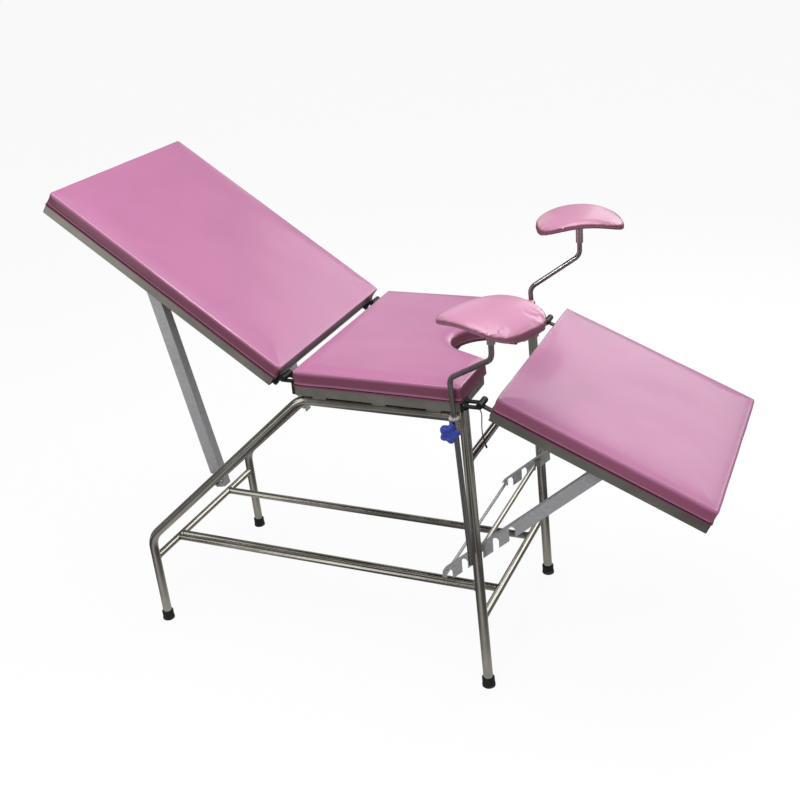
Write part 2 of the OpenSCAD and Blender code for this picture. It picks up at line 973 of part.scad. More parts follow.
module leg_hinge_seat_leaves() {
    seat_end = seat_l - rail_inset;
    color(black)
        both_sides() {
            knuckles(leg_pin_x, leg_pin_z, outer_knuckles);
            hinge_arms(leg_pin_x, leg_pin_z, outer_knuckles, seat_end, leg_pin_x);
            block([seat_end, hinge_start, rail_bottom_z],
                [seat_end + hinge_leaf_t, hinge_start + hinge_len, rail_top_z]);
        }
}

module leg_hinge_leaves() {
    leg_end = leg_x0 + rail_inset;
    color(black)
        lower_leg()
            both_sides() {
                knuckles(leg_pin_x, leg_pin_z, mid_knuckles);
                hinge_arms(leg_pin_x, leg_pin_z, mid_knuckles, leg_pin_x, leg_end);
                for (place = mid_knuckles)
                    block([leg_end - hinge_leaf_t, place[0], rail_bottom_z],
                        [leg_end, place[0] + place[1], rail_top_z]);
            }
}

// A support with its pivot at the origin and its length along the X axis
module from_pivot(pivot, dir) {
    translate([pivot[0], 0, pivot[1]])
        rotate([0, -dir, 0])
            children();
}

// A sheet in the plane of the side view, whose outer face is at a distance from the middle
module side_sheet(y) {
    translate([0, -y, 0])
        rotate([90, 0, 0])
            translate([0, 0, -sheet_t])
                linear_extrude(sheet_t)
                    children();
}

// One open notch, round at its closed end
module notch(w) {
    circle(r = w / 2);
    translate([-w / 2, 0])
        square([w, notch_bar_h * 2]);
}

// Side view of a notched bar
module notched_face() {
    difference() {
        union() {
            circle(r = bar_tail_r);
            polygon([
                [0, -bar_top], [bar_len - tip_chamfer, -bar_top],
                [bar_len, tip_chamfer - bar_top], [bar_len - tip_chamfer, bar_low],
                [flange_start, bar_low], [0, bar_tail_r]
            ]);
        }
        circle(r = prop_pin_r + fit_clear);
        for (i = [0 : notch_count - 1])
            translate([catch_dist + (rest_notch - i) * notch_pitch, 0])
                rotate(-notch_turn)
                    translate([0, (notch_w - catch_rod_d) / 2 - seat_gap])
                        notch(notch_w);
    }
}

// Angle bar with open notches in its lower edge
module notched_bar() {
    color(sheet_steel)
        from_pivot(bar_pivot, bar_dir) {
            side_sheet(bar_y + sheet_t)
                notched_face();
            block([flange_start, -bar_y, -bar_top],
                [bar_len - tip_chamfer, -bar_y + notch_flange_w, sheet_t - bar_top]);
        }
}

module tip_rod() {
    color(sheet_steel)
        from_pivot(bar_pivot, bar_dir)
            across(bar_len - tip_rod_from_end, -bar_y, bar_y, 0, tip_rod_d / 2);
}

// Side view of a back strut, with the open slot that sits on the rear catch tube
module strut_face() {
    end = strut_reach + strut_tip;
    difference() {
        union() {
            circle(r = strut_tail_r);
            polygon([
                [0, -strut_tail_r], [flange_start, -strut_back], [end - strut_chamfer, -strut_back],
                [end, strut_chamfer - strut_back], [end, strut_front], [0, strut_front]
            ]);
        }
        circle(r = prop_pin_r + fit_clear);
        translate([strut_reach, 0])
            rotate(strut_slot_turn)
                notch(strut_slot_w);
    }
}

// Angle section that holds the back section up
module strut() {
    color(sheet_steel)
        from_pivot(strut_pivot, strut_dir) {
            side_sheet(strut_y)
                strut_face();
            block([flange_start, -strut_y + sheet_t, strut_front - sheet_t],
                [strut_reach + strut_tip, -strut_y + strut_w, strut_front]);
        }
}

module strut_tie() {
    color(sheet_steel)
        from_pivot(strut_pivot, strut_dir)
            across(tie_reach, -strut_y + sheet_t, strut_y - sheet_t, 0, tie_d / 2);
}

// Directions of a crutch rod's slanted run, and the turns of its two bends
crutch_low_x = crutch_x(crutch_low_z);
slant = [crutch_up_x - crutch_low_x, crutch_y - crutch_up_y, crutch_up_z - crutch_low_z];
slant_low = turned_y(unit(slant), crutch_lean);
low_azimuth = atan2(slant_low[1], slant_low[0]);
low_turn = acos(slant_low[2]);
up_seen = turned_y(turned_z(turned_y([0, 0, 1], crutch_lean), -low_azimuth), -low_turn);
up_azimuth = atan2(up_seen[1], up_seen[0]);
up_turn = acos(up_seen[2]);
low_reach = crutch_bend_r * tan(low_turn / 2);
up_reach = crutch_bend_r * tan(up_turn / 2);
low_run = norm([crutch_low_x - crutch_foot_x, crutch_low_z - crutch_foot_z]) - low_reach;

module crutch_rod() {
    color(steel)
        translate([crutch_foot_x, -crutch_y, crutch_foot_z])
            rotate([0, -crutch_lean, 0])
                run(low_run, crutch_rod_r)
                    rotate([0, 0, low_azimuth])
                        bend(low_turn, crutch_bend_r, crutch_rod_r)
                            run(norm(slant) - low_reach - up_reach, crutch_rod_r)
                                rotate([0, 0, up_azimuth])
                                    bend(up_turn, crutch_bend_r, crutch_rod_r)
                                        run(crutch_top_z - crutch_up_z - up_reach,
                                            crutch_rod_r);
}

// Anything drawn about the axis of the clamp, at the clamp's height
module at_clamp() {
    translate([crutch_x(clamp_z), -crutch_y, clamp_z])
        rotate([0, -crutch_lean, 0])
            children();
}

// The clamp that holds a crutch on the side frame
module clamp() {
    cx = crutch_x(clamp_z);
    color(steel)
        difference() {
            union() {
                at_clamp()
                    cylinder(h = clamp_h, r = clamp_r, center = true);
                block([cx - clamp_block_l / 2, -crutch_y, clamp_z - clamp_block_h / 2],
                    [cx + clamp_block_l / 2, -frame_y - tube_r / 2,
                        clamp_z + clamp_block_h / 2]);
                across(cx, -crutch_y - clamp_r - boss_l, -crutch_y, clamp_z, boss_r);
            }
            at_clamp()
                cylinder(h = clamp_h + 2 * cut, r = bush_r + fit_clear, center = true);
            across(cx, -crutch_y - clamp_r - boss_l - cut, -crutch_y, clamp_z,
                screw_r + fit_clear);
            front_leg_solid();
            side_frame_solid();
        }
}

// Plain bush in which the crutch rod slides
module crutch_bush() {
    color(bush_grey)
        at_clamp()
            difference() {
                union() {
                    translate([0, 0, -clamp_h / 2])
                        cylinder(h = clamp_h + bush_collar_t / 2, r = bush_r);
                    translate([0, 0, clamp_h / 2 + side_clear])
                        cylinder(h = bush_collar_t, r = clamp_r);
                }
                cylinder(h = 2 * clamp_h, r = crutch_rod_r + fit_clear, center = true);
            }
}

// Star knob with its clamping screw
module knob() {
    cx = crutch_x(clamp_z);
    y_face = crutch_y + clamp_r + boss_l + knob_gap;
    color(knob_blue) {
        across(cx, -y_face - knob_neck_t, -crutch_y - bush_r - side_clear, clamp_z, screw_r);
        across(cx, -y_face - knob_neck_t, -y_face, clamp_z, boss_r);
        translate([cx, -y_face - knob_neck_t, clamp_z])
            rotate([90, 0, 0])
                linear_extrude(knob_t)
                    knob_face();
    }
}

module knob_face() {
    lobe_r = knob_d / 2 * lobe_share;
    circle(r = knob_d / 2 * core_share);
    for (i = [0 : knob_lobes - 1])
        rotate(90 + 360 * i / knob_lobes)
            translate([knob_d / 2 - lobe_r, 0])
                circle(r = lobe_r);
}

// Socket of a crutch cushion, closed by a disc that lies in the cushion's underside
module crutch_sleeve() {
    color(steel)
        translate([crutch_up_x, -crutch_up_y, 0]) {
            difference() {
                translate([0, 0, sleeve_low_z])
                    cylinder(h = crutch_pad_z + disc_sink - disc_t - sleeve_low_z, r = sleeve_r);
                translate([0, 0, sleeve_low_z - cut])
                    cylinder(h = crutch_pad_z - disc_t - sleeve_low_z, r = crutch_rod_r + fit_clear);
            }
            translate([0, 0, crutch_pad_z + disc_sink - disc_t])
                cylinder(h = disc_t, r = disc_r);
        }
}

// Direction of the lanyard at one point of its route
function lanyard_way(i) =
    let (last = len(lanyard_route) - 1)
    unit(lanyard_route[min(i + 1, last)] - lanyard_route[i == 1 ? 1 : max(i - 1, 0)]);

// Radius of the lanyard at one point of its route, larger in the knot near its end
function lanyard_girth(i) =
    let (last = len(lanyard_route) - 1)
    i < last && i >= last - lanyard_knot_rings ? lanyard_knot_r : lanyard_r;

// Round cord swept along the lanyard's route, with its knot
module hinge_lanyard() {
    last = len(lanyard_route) - 1;
    p0 = lanyard_route[0];
    p1 = lanyard_route[last];
    color(black)
        ring_solid([
            for (i = [0 : last])
                let (p = lanyard_route[i], way = lanyard_way(i), r = lanyard_girth(i))
                [for (k = [0 : lanyard_sides - 1])
                    let (b = 360 * k / lanyard_sides)
                    [
                        p[0] + way[1] * r * cos(b),
                        lanyard_y + r * sin(b),
                        p[1] - way[0] * r * cos(b)
                    ]]
        ],
            [p0[0], lanyard_y, p0[1]], [p1[0], lanyard_y, p1[1]]);
}

// Shape of a crutch cushion
pad_stations = 22;
pad_points = 20;
end_deg = 7;
plan_power = 3;
section_power = 0.62;
taper_share = 0.04;
end_power = 0.25;

// Half width of a crutch cushion at a share of its half length
function plan_share(t) = pow(1 - pow(abs(t), plan_power), 1 / plan_power) * (1 + taper_share * t);

// A signed power, for a section between an ellipse and a rectangle
function soft_power(v, p) = sign(v) * pow(abs(v), p);

// Height of the middle of a crutch cushion's section at a share of its half length
function saddle_z(t) = crutch_pad_t / 2 - crutch_arch * t * t;

// Cushion shaped as a saddle that falls towards both ends
module crutch_cushion() {
    end_t = cos(end_deg);
    difference() {
        ring_solid([
            for (j = [0 : pad_stations])
                let (
                    t = cos(180 - end_deg - (180 - 2 * end_deg) * j / pad_stations),
                    w = crutch_pad_w / 2 * plan_share(t),
                    h = crutch_pad_t / 2 * pow(plan_share(t), end_power)
                )
                [for (i = [0 : pad_points - 1])
                    let (b = 360 * i / pad_points)
                    [
                        crutch_pad_l / 2 * t,
                        w * soft_power(cos(b), section_power),
                        saddle_z(t) + h * soft_power(sin(b), section_power)
                    ]]
            ],
            [-crutch_pad_l / 2 * end_t, 0, saddle_z(end_t)],
            [crutch_pad_l / 2 * end_t, 0, saddle_z(end_t)]);
        translate([0, 0, -disc_t])
            cylinder(h = disc_t + disc_sink, r = disc_r + pocket_clear);
    }
}

module crutch_pad(swivel) {
    color(crutch_vinyl)
        translate([crutch_up_x, -crutch_up_y, crutch_pad_z])
            rotate([0, 0, swivel])
                crutch_cushion();
}

place() on_side(near) side_frame();  // side_frame_near
place() on_side(far) side_frame();  // side_frame_far
place() on_side(near) front_leg();  // front_leg_near
place() on_side(far) front_leg();  // front_leg_far
place() rear_crossbar();
place() front_crossbar();
place() stretchers();
place() corner_brace();
place() front_cross_tube();
place() front_catch_rod();
place() rear_catch_tube();
place() on_side(near) seat_rail();  // seat_rail_near
place() on_side(far) seat_rail();  // seat_rail_far
place() seat_rear_rail();
place() seat_mid_rail();
place() seat_front_rails();
place() frame_tabs();
place() seat_board();
place() seat_pad();
place() feet();
place() on_side(near) clamp();  // clamp_near
place() on_side(far) clamp();  // clamp_far
place() back_hinge_seat_leaves();
place() leg_hinge_seat_leaves();
place() hinge_pins();
place() hinge_lanyard();
place() on_side(near) back_rail();  // back_rail_near
place() on_side(far) back_rail();  // back_rail_far
place() back_head_rail();
place() back_hinge_rail();
place() back_mid_rail();
place() back_board();
place() back_pad();
place() back_hinge_leaves();
place() strut_pins();
place() on_side(near) strut();  // strut_near
place() on_side(far) strut();  // strut_far
place() strut_tie();
place() on_side(near) leg_rail();  // leg_rail_near
place() on_side(far) leg_rail();  // leg_rail_far
place() leg_hinge_rail();
place() leg_foot_rail();
place() leg_mid_rail();
place() leg_board();
place() leg_pad();
place() leg_hinge_leaves();
place() notched_bar_pins();
place() on_side(near) notched_bar();  // notched_bar_near
place() on_side(far) notched_bar();  // notched_bar_far
place() tip_rod();
place() on_side(near) crutch_bush();  // crutch_bush_near
place() on_side(near) crutch_rod();  // crutch_rod_near
place() on_side(near) crutch_sleeve();  // crutch_sleeve_near
place() on_side(near) crutch_pad(near_swivel);  // crutch_pad_near
place() on_side(near) knob();  // knob_near
place() on_side(far) crutch_bush();  // crutch_bush_far
place() on_side(far) crutch_rod();  // crutch_rod_far
place() on_side(far) crutch_sleeve();  // crutch_sleeve_far
place() on_side(far) crutch_pad(far_swivel);  // crutch_pad_far
place() on_side(far) knob();  // knob_far
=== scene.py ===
"""Looks of the gynaecological examination table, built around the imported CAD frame."""
import logging
import math
from contextlib import contextmanager
from dataclasses import dataclass, field
from enum import Enum
from typing import Iterable, Iterator, Sequence

import bmesh
import bpy
import numpy as np
from mathutils import Matrix, Vector


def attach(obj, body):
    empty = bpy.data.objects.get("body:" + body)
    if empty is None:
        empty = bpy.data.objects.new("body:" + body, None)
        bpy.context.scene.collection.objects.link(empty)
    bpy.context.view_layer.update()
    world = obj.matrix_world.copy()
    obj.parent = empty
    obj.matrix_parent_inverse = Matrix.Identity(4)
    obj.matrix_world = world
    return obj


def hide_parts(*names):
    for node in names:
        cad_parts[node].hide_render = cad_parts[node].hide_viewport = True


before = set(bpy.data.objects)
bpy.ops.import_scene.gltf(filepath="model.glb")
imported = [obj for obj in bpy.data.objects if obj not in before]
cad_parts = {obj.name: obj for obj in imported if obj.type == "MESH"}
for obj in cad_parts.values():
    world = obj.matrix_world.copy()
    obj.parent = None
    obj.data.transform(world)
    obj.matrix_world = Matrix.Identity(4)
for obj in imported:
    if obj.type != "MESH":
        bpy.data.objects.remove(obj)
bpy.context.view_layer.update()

LOG = logging.getLogger("table")
MM = 0.001
MID_X = 173.0616
DOUBLED = 1e-5
TINY = 1e-9
SADDLE_STEPS = 36
RIB_STEPS = 40
SOCKET_KINDS: dict[type, str] = {float: "NodeSocketFloat", int: "NodeSocketInt",
                                 type(None): "NodeSocketObject"}
Colour = tuple[float, float, float]
Point = tuple[float, float, float]


class Side(Enum):
    """The two sides of the table, with the sign of their Y."""

    NEAR = -1
    FAR = 1

    @property
    def word(self) -> str:
        """The side's name as the nodes spell it."""
        return self.name.lower()


class Grain(Enum):
    """How far polishing lines are stretched along X, Y and Z."""

    ALONG = (0.04, 1.0, 1.0)
    ACROSS = (1.0, 0.04, 1.0)
    UP = (1.0, 1.0, 0.04)
    NONE = (1.0, 1.0, 1.0)


def place(x: float, y: float, z: float) -> Vector:
    """A point of the drawing, in millimetres, as a point of the frame, in metres."""
    return Vector(((x - MID_X) * MM, y * MM, z * MM))


@dataclass(frozen=True)
class Section:
    """A section of the table that is drawn flat and then turned about its hinge.

    The turn is in degrees, positive where the far end of a section towards -X rises.
    """

    pivot_x: float = 0.0
    pivot_z: float = 0.0
    turn: float = 0.0

    @property
    def matrix(self) -> Matrix:
        """The motion from the flat section to its place at rest, in metres."""
        pivot = place(self.pivot_x, 0.0, self.pivot_z)
        turn = Matrix.Rotation(math.radians(self.turn), 4, "Y")
        return Matrix.Translation(pivot) @ turn @ Matrix.Translation(-pivot)

    def at(self, x: float, y: float, z: float) -> Vector:
        """A point of the flat section, in millimetres, at its place at rest."""
        return self.matrix @ place(x, y, z)


SEAT = Section()
BACK = Section(-28.0, 814.0, 35.0)
LEG = Section(478.0, 795.0, 24.0)


# Node graphs

class Wire:
    """A number socket that takes part in Python arithmetic."""

    def __init__(self, graph: "Graph", socket: bpy.types.NodeSocket) -> None:
        """Keeps the socket and the graph that new Math nodes go into."""
        self.graph = graph
        self.socket = socket

    def maths(self, operation: str, *values: "Wire | float", clamp: bool = False) -> "Wire":
        """One Math node.

        Args:
            operation: Blender's name of the operation.
            values: its operands, in their order.
            clamp: whether the result is kept between 0 and 1.

        Returns:
            The result as a new wire.
        """
        return self.graph.value("ShaderNodeMath", {"operation": operation, "use_clamp": clamp},
                                dict(enumerate(values)))

    def __add__(self, other: "Wire | float") -> "Wire":
        """This value plus another."""
        return self.maths("ADD", self, other)

    __radd__ = __add__

    def __sub__(self, other: "Wire | float") -> "Wire":
        """This value less another."""
        return self.maths("SUBTRACT", self, other)

    def __rsub__(self, other: float) -> "Wire":
        """A number less this value."""
        return self.maths("SUBTRACT", other, self)

    def __mul__(self, other: "Wire | float") -> "Wire":
        """This value times another."""
        return self.maths("MULTIPLY", self, other)

    __rmul__ = __mul__

    def __pow__(self, other: float) -> "Wire":
        """This value raised to a power."""
        return self.maths("POWER", self, other)

    def within(self) -> "Wire":
        """This value kept between 0 and 1."""
        return self.maths("ADD", self, 0.0, clamp=True)

    def over(self, low: float, high: float) -> "Wire":
        """0 below low, 1 above high, and a smooth rise between them."""
        return self.graph.value("ShaderNodeMapRange", {"interpolation_type": "SMOOTHSTEP"},
                                {"Value": self, "From Min": low, "From Max": high})


class Graph:
    """A node tree of a material, of the world or of Geometry Nodes."""

    def __init__(self, tree: bpy.types.NodeTree) -> None:
        """Keeps the tree that the nodes go into."""
        self.tree = tree

    def plug(self, socket: bpy.types.NodeSocket, value: object) -> None:
        """Links a wire or a socket to a socket, or gives it a plain value.

        Args:
            socket: the input.
            value: what it gets.
        """
        value = value.socket if isinstance(value, Wire) else value
        if isinstance(value, bpy.types.NodeSocket):
            self.tree.links.new(value, socket)
        else:
            socket.default_value = value

    def node(self, kind: str, settings: dict | None = None,
             inputs: dict | None = None) -> bpy.types.Node:
        """Adds one node.

        Args:
            kind: the node's type.
            settings: its properties, which are set before its sockets.
            inputs: values or links by socket name or number.

        Returns:
            The node.
        """
        made = self.tree.nodes.new(kind)
        for key, value in (settings or {}).items():
            setattr(made, key, value)
        for key, value in (inputs or {}).items():
            self.plug(made.inputs[key], value)
        return made

    def value(self, kind: str, settings: dict | None = None, inputs: dict | None = None,
              output: int | str = 0) -> Wire:
        """Adds one node and returns one of its outputs as a wire."""
        return Wire(self, self.node(kind, settings, inputs).outputs[output])

    def light(self, kind: str, colour: Colour, strength: float) -> bpy.types.NodeSocket:
        """The output of an Emission or a Background node."""
        return self.node(kind, None, {"Color": (*colour, 1.0), "Strength": strength}).outputs[0]

    def blend(self, share: Wire, first: bpy.types.NodeSocket,
              second: bpy.types.NodeSocket) -> bpy.types.NodeSocket:
        """Two shaders mixed by the share of the second."""
        return self.node("ShaderNodeMixShader", None, {0: share, 1: first, 2: second}).outputs[0]

    def rays(self) -> tuple[Wire, Wire]:
        """Whether a ray comes from the camera, and whether it is a reflection."""
        path = self.node("ShaderNodeLightPath")
        return Wire(self, path.outputs["Is Camera Ray"]), Wire(self, path.outputs["Is Glossy Ray"])


class Paint(Graph):
    """The node tree of one material, with the patterns that the finishes share."""

    def __init__(self, name: str) -> None:
        """Starts a material with an empty tree, a shader and object coordinates."""
        self.material = bpy.data.materials.new(name)
        self.material.use_nodes = True
        super().__init__(self.material.node_tree)
        self.tree.nodes.clear()
        self.out = self.node("ShaderNodeOutputMaterial")
        self.shader = self.node("ShaderNodeBsdfPrincipled")
        self.plug(self.out.inputs[0], self.shader.outputs[0])
        self.place = self.node("ShaderNodeTexCoord").outputs["Object"]

    def set(self, **values: "Wire | float | Sequence[float]") -> None:
        """Sets the shader's sockets; an underscore in a name stands for a space."""
        for key, value in values.items():
            self.plug(self.shader.inputs[key.replace("_", " ")], value)

    def stretched(self, scale: Sequence[float]) -> bpy.types.NodeSocket:
        """Object coordinates scaled along each axis."""
        return self.node("ShaderNodeMapping", None,
                         {"Vector": self.place, "Scale": tuple(scale)}).outputs[0]

    def along(self, axis: int) -> Wire:
        """The object coordinate along one axis."""
        return self.value("ShaderNodeSeparateXYZ", None, {0: self.place}, axis)

    def mark(self, name: str) -> Wire:
        """The number that the mesh's points carry under a name."""
        return self.value("ShaderNodeAttribute", {"attribute_name": name}, output="Fac")

    def noise(self, scale: float, detail: float = 3.0, rough: float = 0.55,
              vector: bpy.types.NodeSocket | None = None) -> Wire:
        """Cloudy noise between 0 and 1.

        Args:
            scale: how many clouds lie in a metre.
            detail: how many finer layers it has.
            rough: the strength of the finer layers.
            vector: coordinates in place of the object's own.

        Returns:
            The noise.
        """
        return self.value("ShaderNodeTexNoise", None, {
            "Vector": vector or self.place, "Scale": scale, "Detail": detail,
            "Roughness": rough})

    def cells(self, scale: float) -> Wire:
        """Distance to the nearest of many scattered points."""
        return self.value("ShaderNodeTexVoronoi", {"feature": "F1"},
                          {"Vector": self.place, "Scale": scale}, "Distance")

    def mixed(self, share: Wire, low: "Colour | bpy.types.NodeSocket",
              high: Colour) -> bpy.types.NodeSocket:
        """A colour between two.

        Args:
            share: how much of the second colour shows.
            low: the first colour, or a link to one.
            high: the second colour.

        Returns:
            The mixed colour's socket.
        """
        under = low if isinstance(low, bpy.types.NodeSocket) else (*low, 1.0)
        return self.node("ShaderNodeMix", {"data_type": "RGBA"},
                         {0: share, 6: under, 7: (*high, 1.0)}).outputs[2]

    def bump(self, height: Wire, depth: float, strength: float) -> bpy.types.NodeSocket:
        """A Bump node's normal from a pattern, its depth in millimetres and its strength."""
        return self.node("ShaderNodeBump", None, {
            "Height": height, "Distance": depth * MM, "Strength": strength}).outputs[0]


def shade(colour: Colour, factor: float) -> Colour:
    """A colour made lighter or darker."""
    return tuple(min(1.0, c * factor) for c in colour)


# Finishes

@dataclass(frozen=True)
class Finish:
    """A surface finish: what all of them share is a name and one base colour."""

    name: str
    colour: Colour

    def material(self) -> bpy.types.Material:
        """The finish as a material, made once.

        Returns:
            The material.
        """
        title = self.name + "_finish"
        found = bpy.data.materials.get(title)
        if found is None:
            paint = Paint(title)
            self.dress(paint)
            found = paint.material
        return found

    def dress(self, paint: Paint) -> None:
        """Adds this finish's nodes to a fresh material."""
        raise NotImplementedError


@dataclass(frozen=True)
class Vinyl(Finish):
    """Smooth upholstery vinyl over foam, with a fine pebble grain and a soft gloss."""

    gloss: float = 0.3
    coat: float = 0.22
    backing: Colour = (0.035, 0.03, 0.032)
    # Factor on the colour of the sides: painted shade, as the sides get less light than the top.
    side_shade_tint: Colour = (0.34, 0.23, 0.235)
    edge_shine: float = 0.78

    def dress(self, paint: Paint) -> None:
        """Pebble grain, faint clouding, smears of wear, painted shade that darkens the sides, and
        a dark cloth underside.
        """
        cloud = paint.noise(6.0, 4.0)
        smear = paint.noise(3.0, 5.0, 0.6, paint.stretched((1.0, 2.2, 1.0)))
        pebble = paint.cells(900.0)
        crease = paint.cells(260.0)
        under, side, roll = (paint.mark(name) for name in ("backing", "band", "roll"))
        # The sides take this darker colour: painted shade where less light falls.
        shaded_side_colour = tuple(c * s for c, s in zip(self.colour, self.side_shade_tint))
        top = paint.mixed(cloud.over(0.3, 0.7), shade(self.colour, 0.97),
                          shade(self.colour, 1.03))
        marked = paint.mixed(smear.over(0.62, 0.8) * 0.12, paint.mixed(side, top, shaded_side_colour),
                             shade(self.colour, 0.8))
        paint.set(Base_Color=paint.mixed(under, marked, self.backing),
                  Roughness=(smear.over(0.35, 0.75) * 0.1 + self.gloss
                             + pebble * 0.05 + under * 0.45 - roll * 0.12).within(),
                  Coat_Weight=(self.coat + roll * self.edge_shine
                               - under * self.coat).within(),
                  Coat_Roughness=0.13,
                  Normal=paint.bump(pebble * 0.6 + crease * 0.4, 0.05, 0.5))


@dataclass(frozen=True)
class Stainless(Finish):
    """Drawn or rolled stainless steel with fine polishing lines."""

    grain: Grain = Grain.NONE
    gloss: float = 0.3
    mottle: float = 0.2

    def dress(self, paint: Paint) -> None:
        """Polishing lines, dull patches and fine scratches."""
        lines = paint.noise(1400.0, 2.0, 0.5, paint.stretched(self.grain.value))
        dull = paint.noise(9.0, 5.0, 0.6)
        spots = paint.noise(70.0, 3.0, 0.6)
        base = paint.mixed(dull.over(0.3, 0.72), shade(self.colour, 1.0 - self.mottle),
                           shade(self.colour, 1.0 + self.mottle * 0.6))
        paint.set(Base_Color=paint.mixed(spots.over(0.66, 0.82) * 0.35, base,
                                         shade(self.colour, 0.62)),
                  Metallic=1.0,
                  Roughness=(lines * 0.1 + dull.over(0.4, 0.7) * 0.1 + self.gloss).within(),
                  Normal=paint.bump(lines, 0.02, 0.35))


@dataclass(frozen=True)
class PressedSheet(Finish):
    """Bare pressed sheet with a faint spangle and rolled lines."""

    def dress(self, paint: Paint) -> None:
        """Spangle, rolling lines and grime along the scratches."""
        spangle = paint.cells(120.0)
        lines = paint.noise(700.0, 2.0, 0.5, paint.stretched(Grain.ALONG.value))
        stain = paint.noise(14.0, 5.0, 0.62)
        base = paint.mixed(spangle, shade(self.colour, 0.9), shade(self.colour, 1.08))
        paint.set(Base_Color=paint.mixed(stain.over(0.55, 0.8) * 0.4, base,
                                         shade(self.colour, 0.6)),
                  Metallic=0.75,
                  Roughness=(stain * 0.2 + spangle * 0.08 + 0.34).within(),
                  Normal=paint.bump(lines * 0.5 + spangle * 0.5, 0.04, 0.4))


@dataclass(frozen=True)
class DarkEnamel(Finish):
    """Black enamel or black oxide on small iron parts, rubbed along its high spots."""

    bare: Colour = (0.13, 0.125, 0.12)

    def dress(self, paint: Paint) -> None:
        """Orange peel, dust and rubbed edges."""
        peel = paint.noise(420.0, 2.0)
        rub = paint.noise(60.0, 6.0, 0.65)
        paint.set(Base_Color=paint.mixed(rub.over(0.6, 0.78), self.colour, self.bare),
                  Metallic=rub.over(0.62, 0.75) * 0.7,
                  Roughness=(rub * 0.25 + 0.3).within(),
                  Normal=paint.bump(peel, 0.06, 0.5))


@dataclass(frozen=True)
class Rubber(Finish):
    """Matt moulded rubber with dust near the floor."""

    dust: Colour = (0.16, 0.15, 0.14)

    def dress(self, paint: Paint) -> None:
        """Moulding texture and dust that gathers low down."""
        skin = paint.noise(900.0, 3.0)
        cloud = paint.noise(40.0, 5.0)
        dusty = (1.0 - paint.along(2).over(0.001, 0.014)) * cloud.over(0.35, 0.7)
        paint.set(Base_Color=paint.mixed(dusty * 0.6, self.colour, self.dust),
                  Roughness=(cloud * 0.2 + 0.55).within(),
                  Normal=paint.bump(skin, 0.05, 0.6))


@dataclass(frozen=True)
class MouldedPlastic(Finish):
    """Moulded plastic with a soft sheen and a faint texture."""

    gloss: float = 0.35

    def dress(self, paint: Paint) -> None:
        """Spark texture, flow clouding and handling shine."""
        spark = paint.noise(1500.0, 2.0)
        cloud = paint.noise(45.0, 4.0)
        paint.set(Base_Color=paint.mixed(cloud.over(0.3, 0.75), shade(self.colour, 0.88),
                                         shade(self.colour, 1.1)),
                  Roughness=(cloud * 0.16 + self.gloss).within(),
                  Normal=paint.bump(spark, 0.03, 0.5))


@dataclass(frozen=True)
class Board(Finish):
    """Dark stained plywood."""

    def dress(self, paint: Paint) -> None:
        """Long grain lines, pores and a mottled stain."""
        grain = paint.noise(60.0, 6.0, 0.6, paint.stretched((0.06, 1.0, 3.0)))
        pores = paint.noise(900.0, 2.0, 0.5, paint.stretched((0.08, 1.0, 1.0)))
        paint.set(Base_Color=paint.mixed(grain.over(0.3, 0.7), shade(self.colour, 0.6),
                                         shade(self.colour, 1.35)),
                  Roughness=(pores * 0.2 + 0.62).within(),
                  Normal=paint.bump(pores * 0.5 + grain * 0.5, 0.12, 0.6))


@dataclass(frozen=True)
class FloorPaint(Finish):
    """Pale studio floor that keeps the object's shadow."""

    glow: float = 0.9
    mirrored: tuple[float, float] = (0.08, 0.42)
    band_pitch: float = 0.97
    band_x: float = 0.3
    band_edge: float = 1.8

    def dress(self, paint: Paint) -> None:
        """A matt floor, lifted towards white where it is looked at.

        In reflections it has soft bright bands, which draw light lines on the upright tubes.
        """
        paint.set(Base_Color=(*self.colour, 1.0), Roughness=0.9)
        seen, glossy = paint.rays()
        white = paint.light("ShaderNodeEmission", (1.0, 1.0, 1.0), 1.02)
        dim, bright = (paint.light("ShaderNodeEmission", (0.97, 0.97, 1.0), strength)
                       for strength in self.mirrored)
        turn = (paint.along(0) - self.band_x) * (2 * math.pi / self.band_pitch)
        wave = turn.maths("COSINE", turn)
        banded = paint.blend((wave * 0.5 + 0.5) ** self.band_edge, dim, bright)
        lifted = paint.blend(seen * self.glow, paint.shader.outputs[0], white)
        paint.plug(paint.out.inputs[0], paint.blend(glossy, lifted, banded))


PINK: Colour = (0.55, 0.205, 0.375)
TUBE: Colour = (0.6, 0.565, 0.49)
RAIL: Colour = (0.5, 0.475, 0.415)
PINK_VINYL = Vinyl("pink_vinyl", PINK)
# The leg's sides get a lighter painted shade than the other pads, for the light that falls on
# them.
LEG_VINYL = Vinyl("leg_vinyl", PINK, side_shade_tint=(0.53, 0.36, 0.39))
CRUTCH_VINYL = Vinyl("crutch_vinyl", (0.64, 0.285, 0.43), gloss=0.36)
TUBE_ALONG = Stainless("tube_steel_along", TUBE, Grain.ALONG, gloss=0.1)
TUBE_ACROSS = Stainless("tube_steel_across", TUBE, Grain.ACROSS, gloss=0.1)
TUBE_UP = Stainless("tube_steel_up", TUBE, Grain.UP, gloss=0.1)
RAIL_STEEL = Stainless("rail_steel", RAIL, Grain.ALONG, gloss=0.34)
RAIL_CROSS = Stainless("rail_steel_across", RAIL, Grain.ACROSS, gloss=0.34)
BRIGHT_ROD = Stainless("bright_rod", (0.36, 0.35, 0.335), Grain.UP, gloss=0.16, mottle=0.1)
WELD_STEEL = Stainless("weld_steel", (0.3, 0.285, 0.25), Grain.NONE, gloss=0.42, mottle=0.35)
SHEET = PressedSheet("pressed_sheet", (0.7, 0.7, 0.705))
SCREW_STEEL = Stainless("screw_steel", (0.34, 0.34, 0.34), Grain.NONE, gloss=0.25)
BLACK_IRON = DarkEnamel("black_iron", (0.012, 0.012, 0.013))
BLACK_RUBBER = Rubber("black_rubber", (0.012, 0.012, 0.013))
BLUE_PLASTIC = MouldedPlastic("blue_plastic", (0.035, 0.062, 0.40))
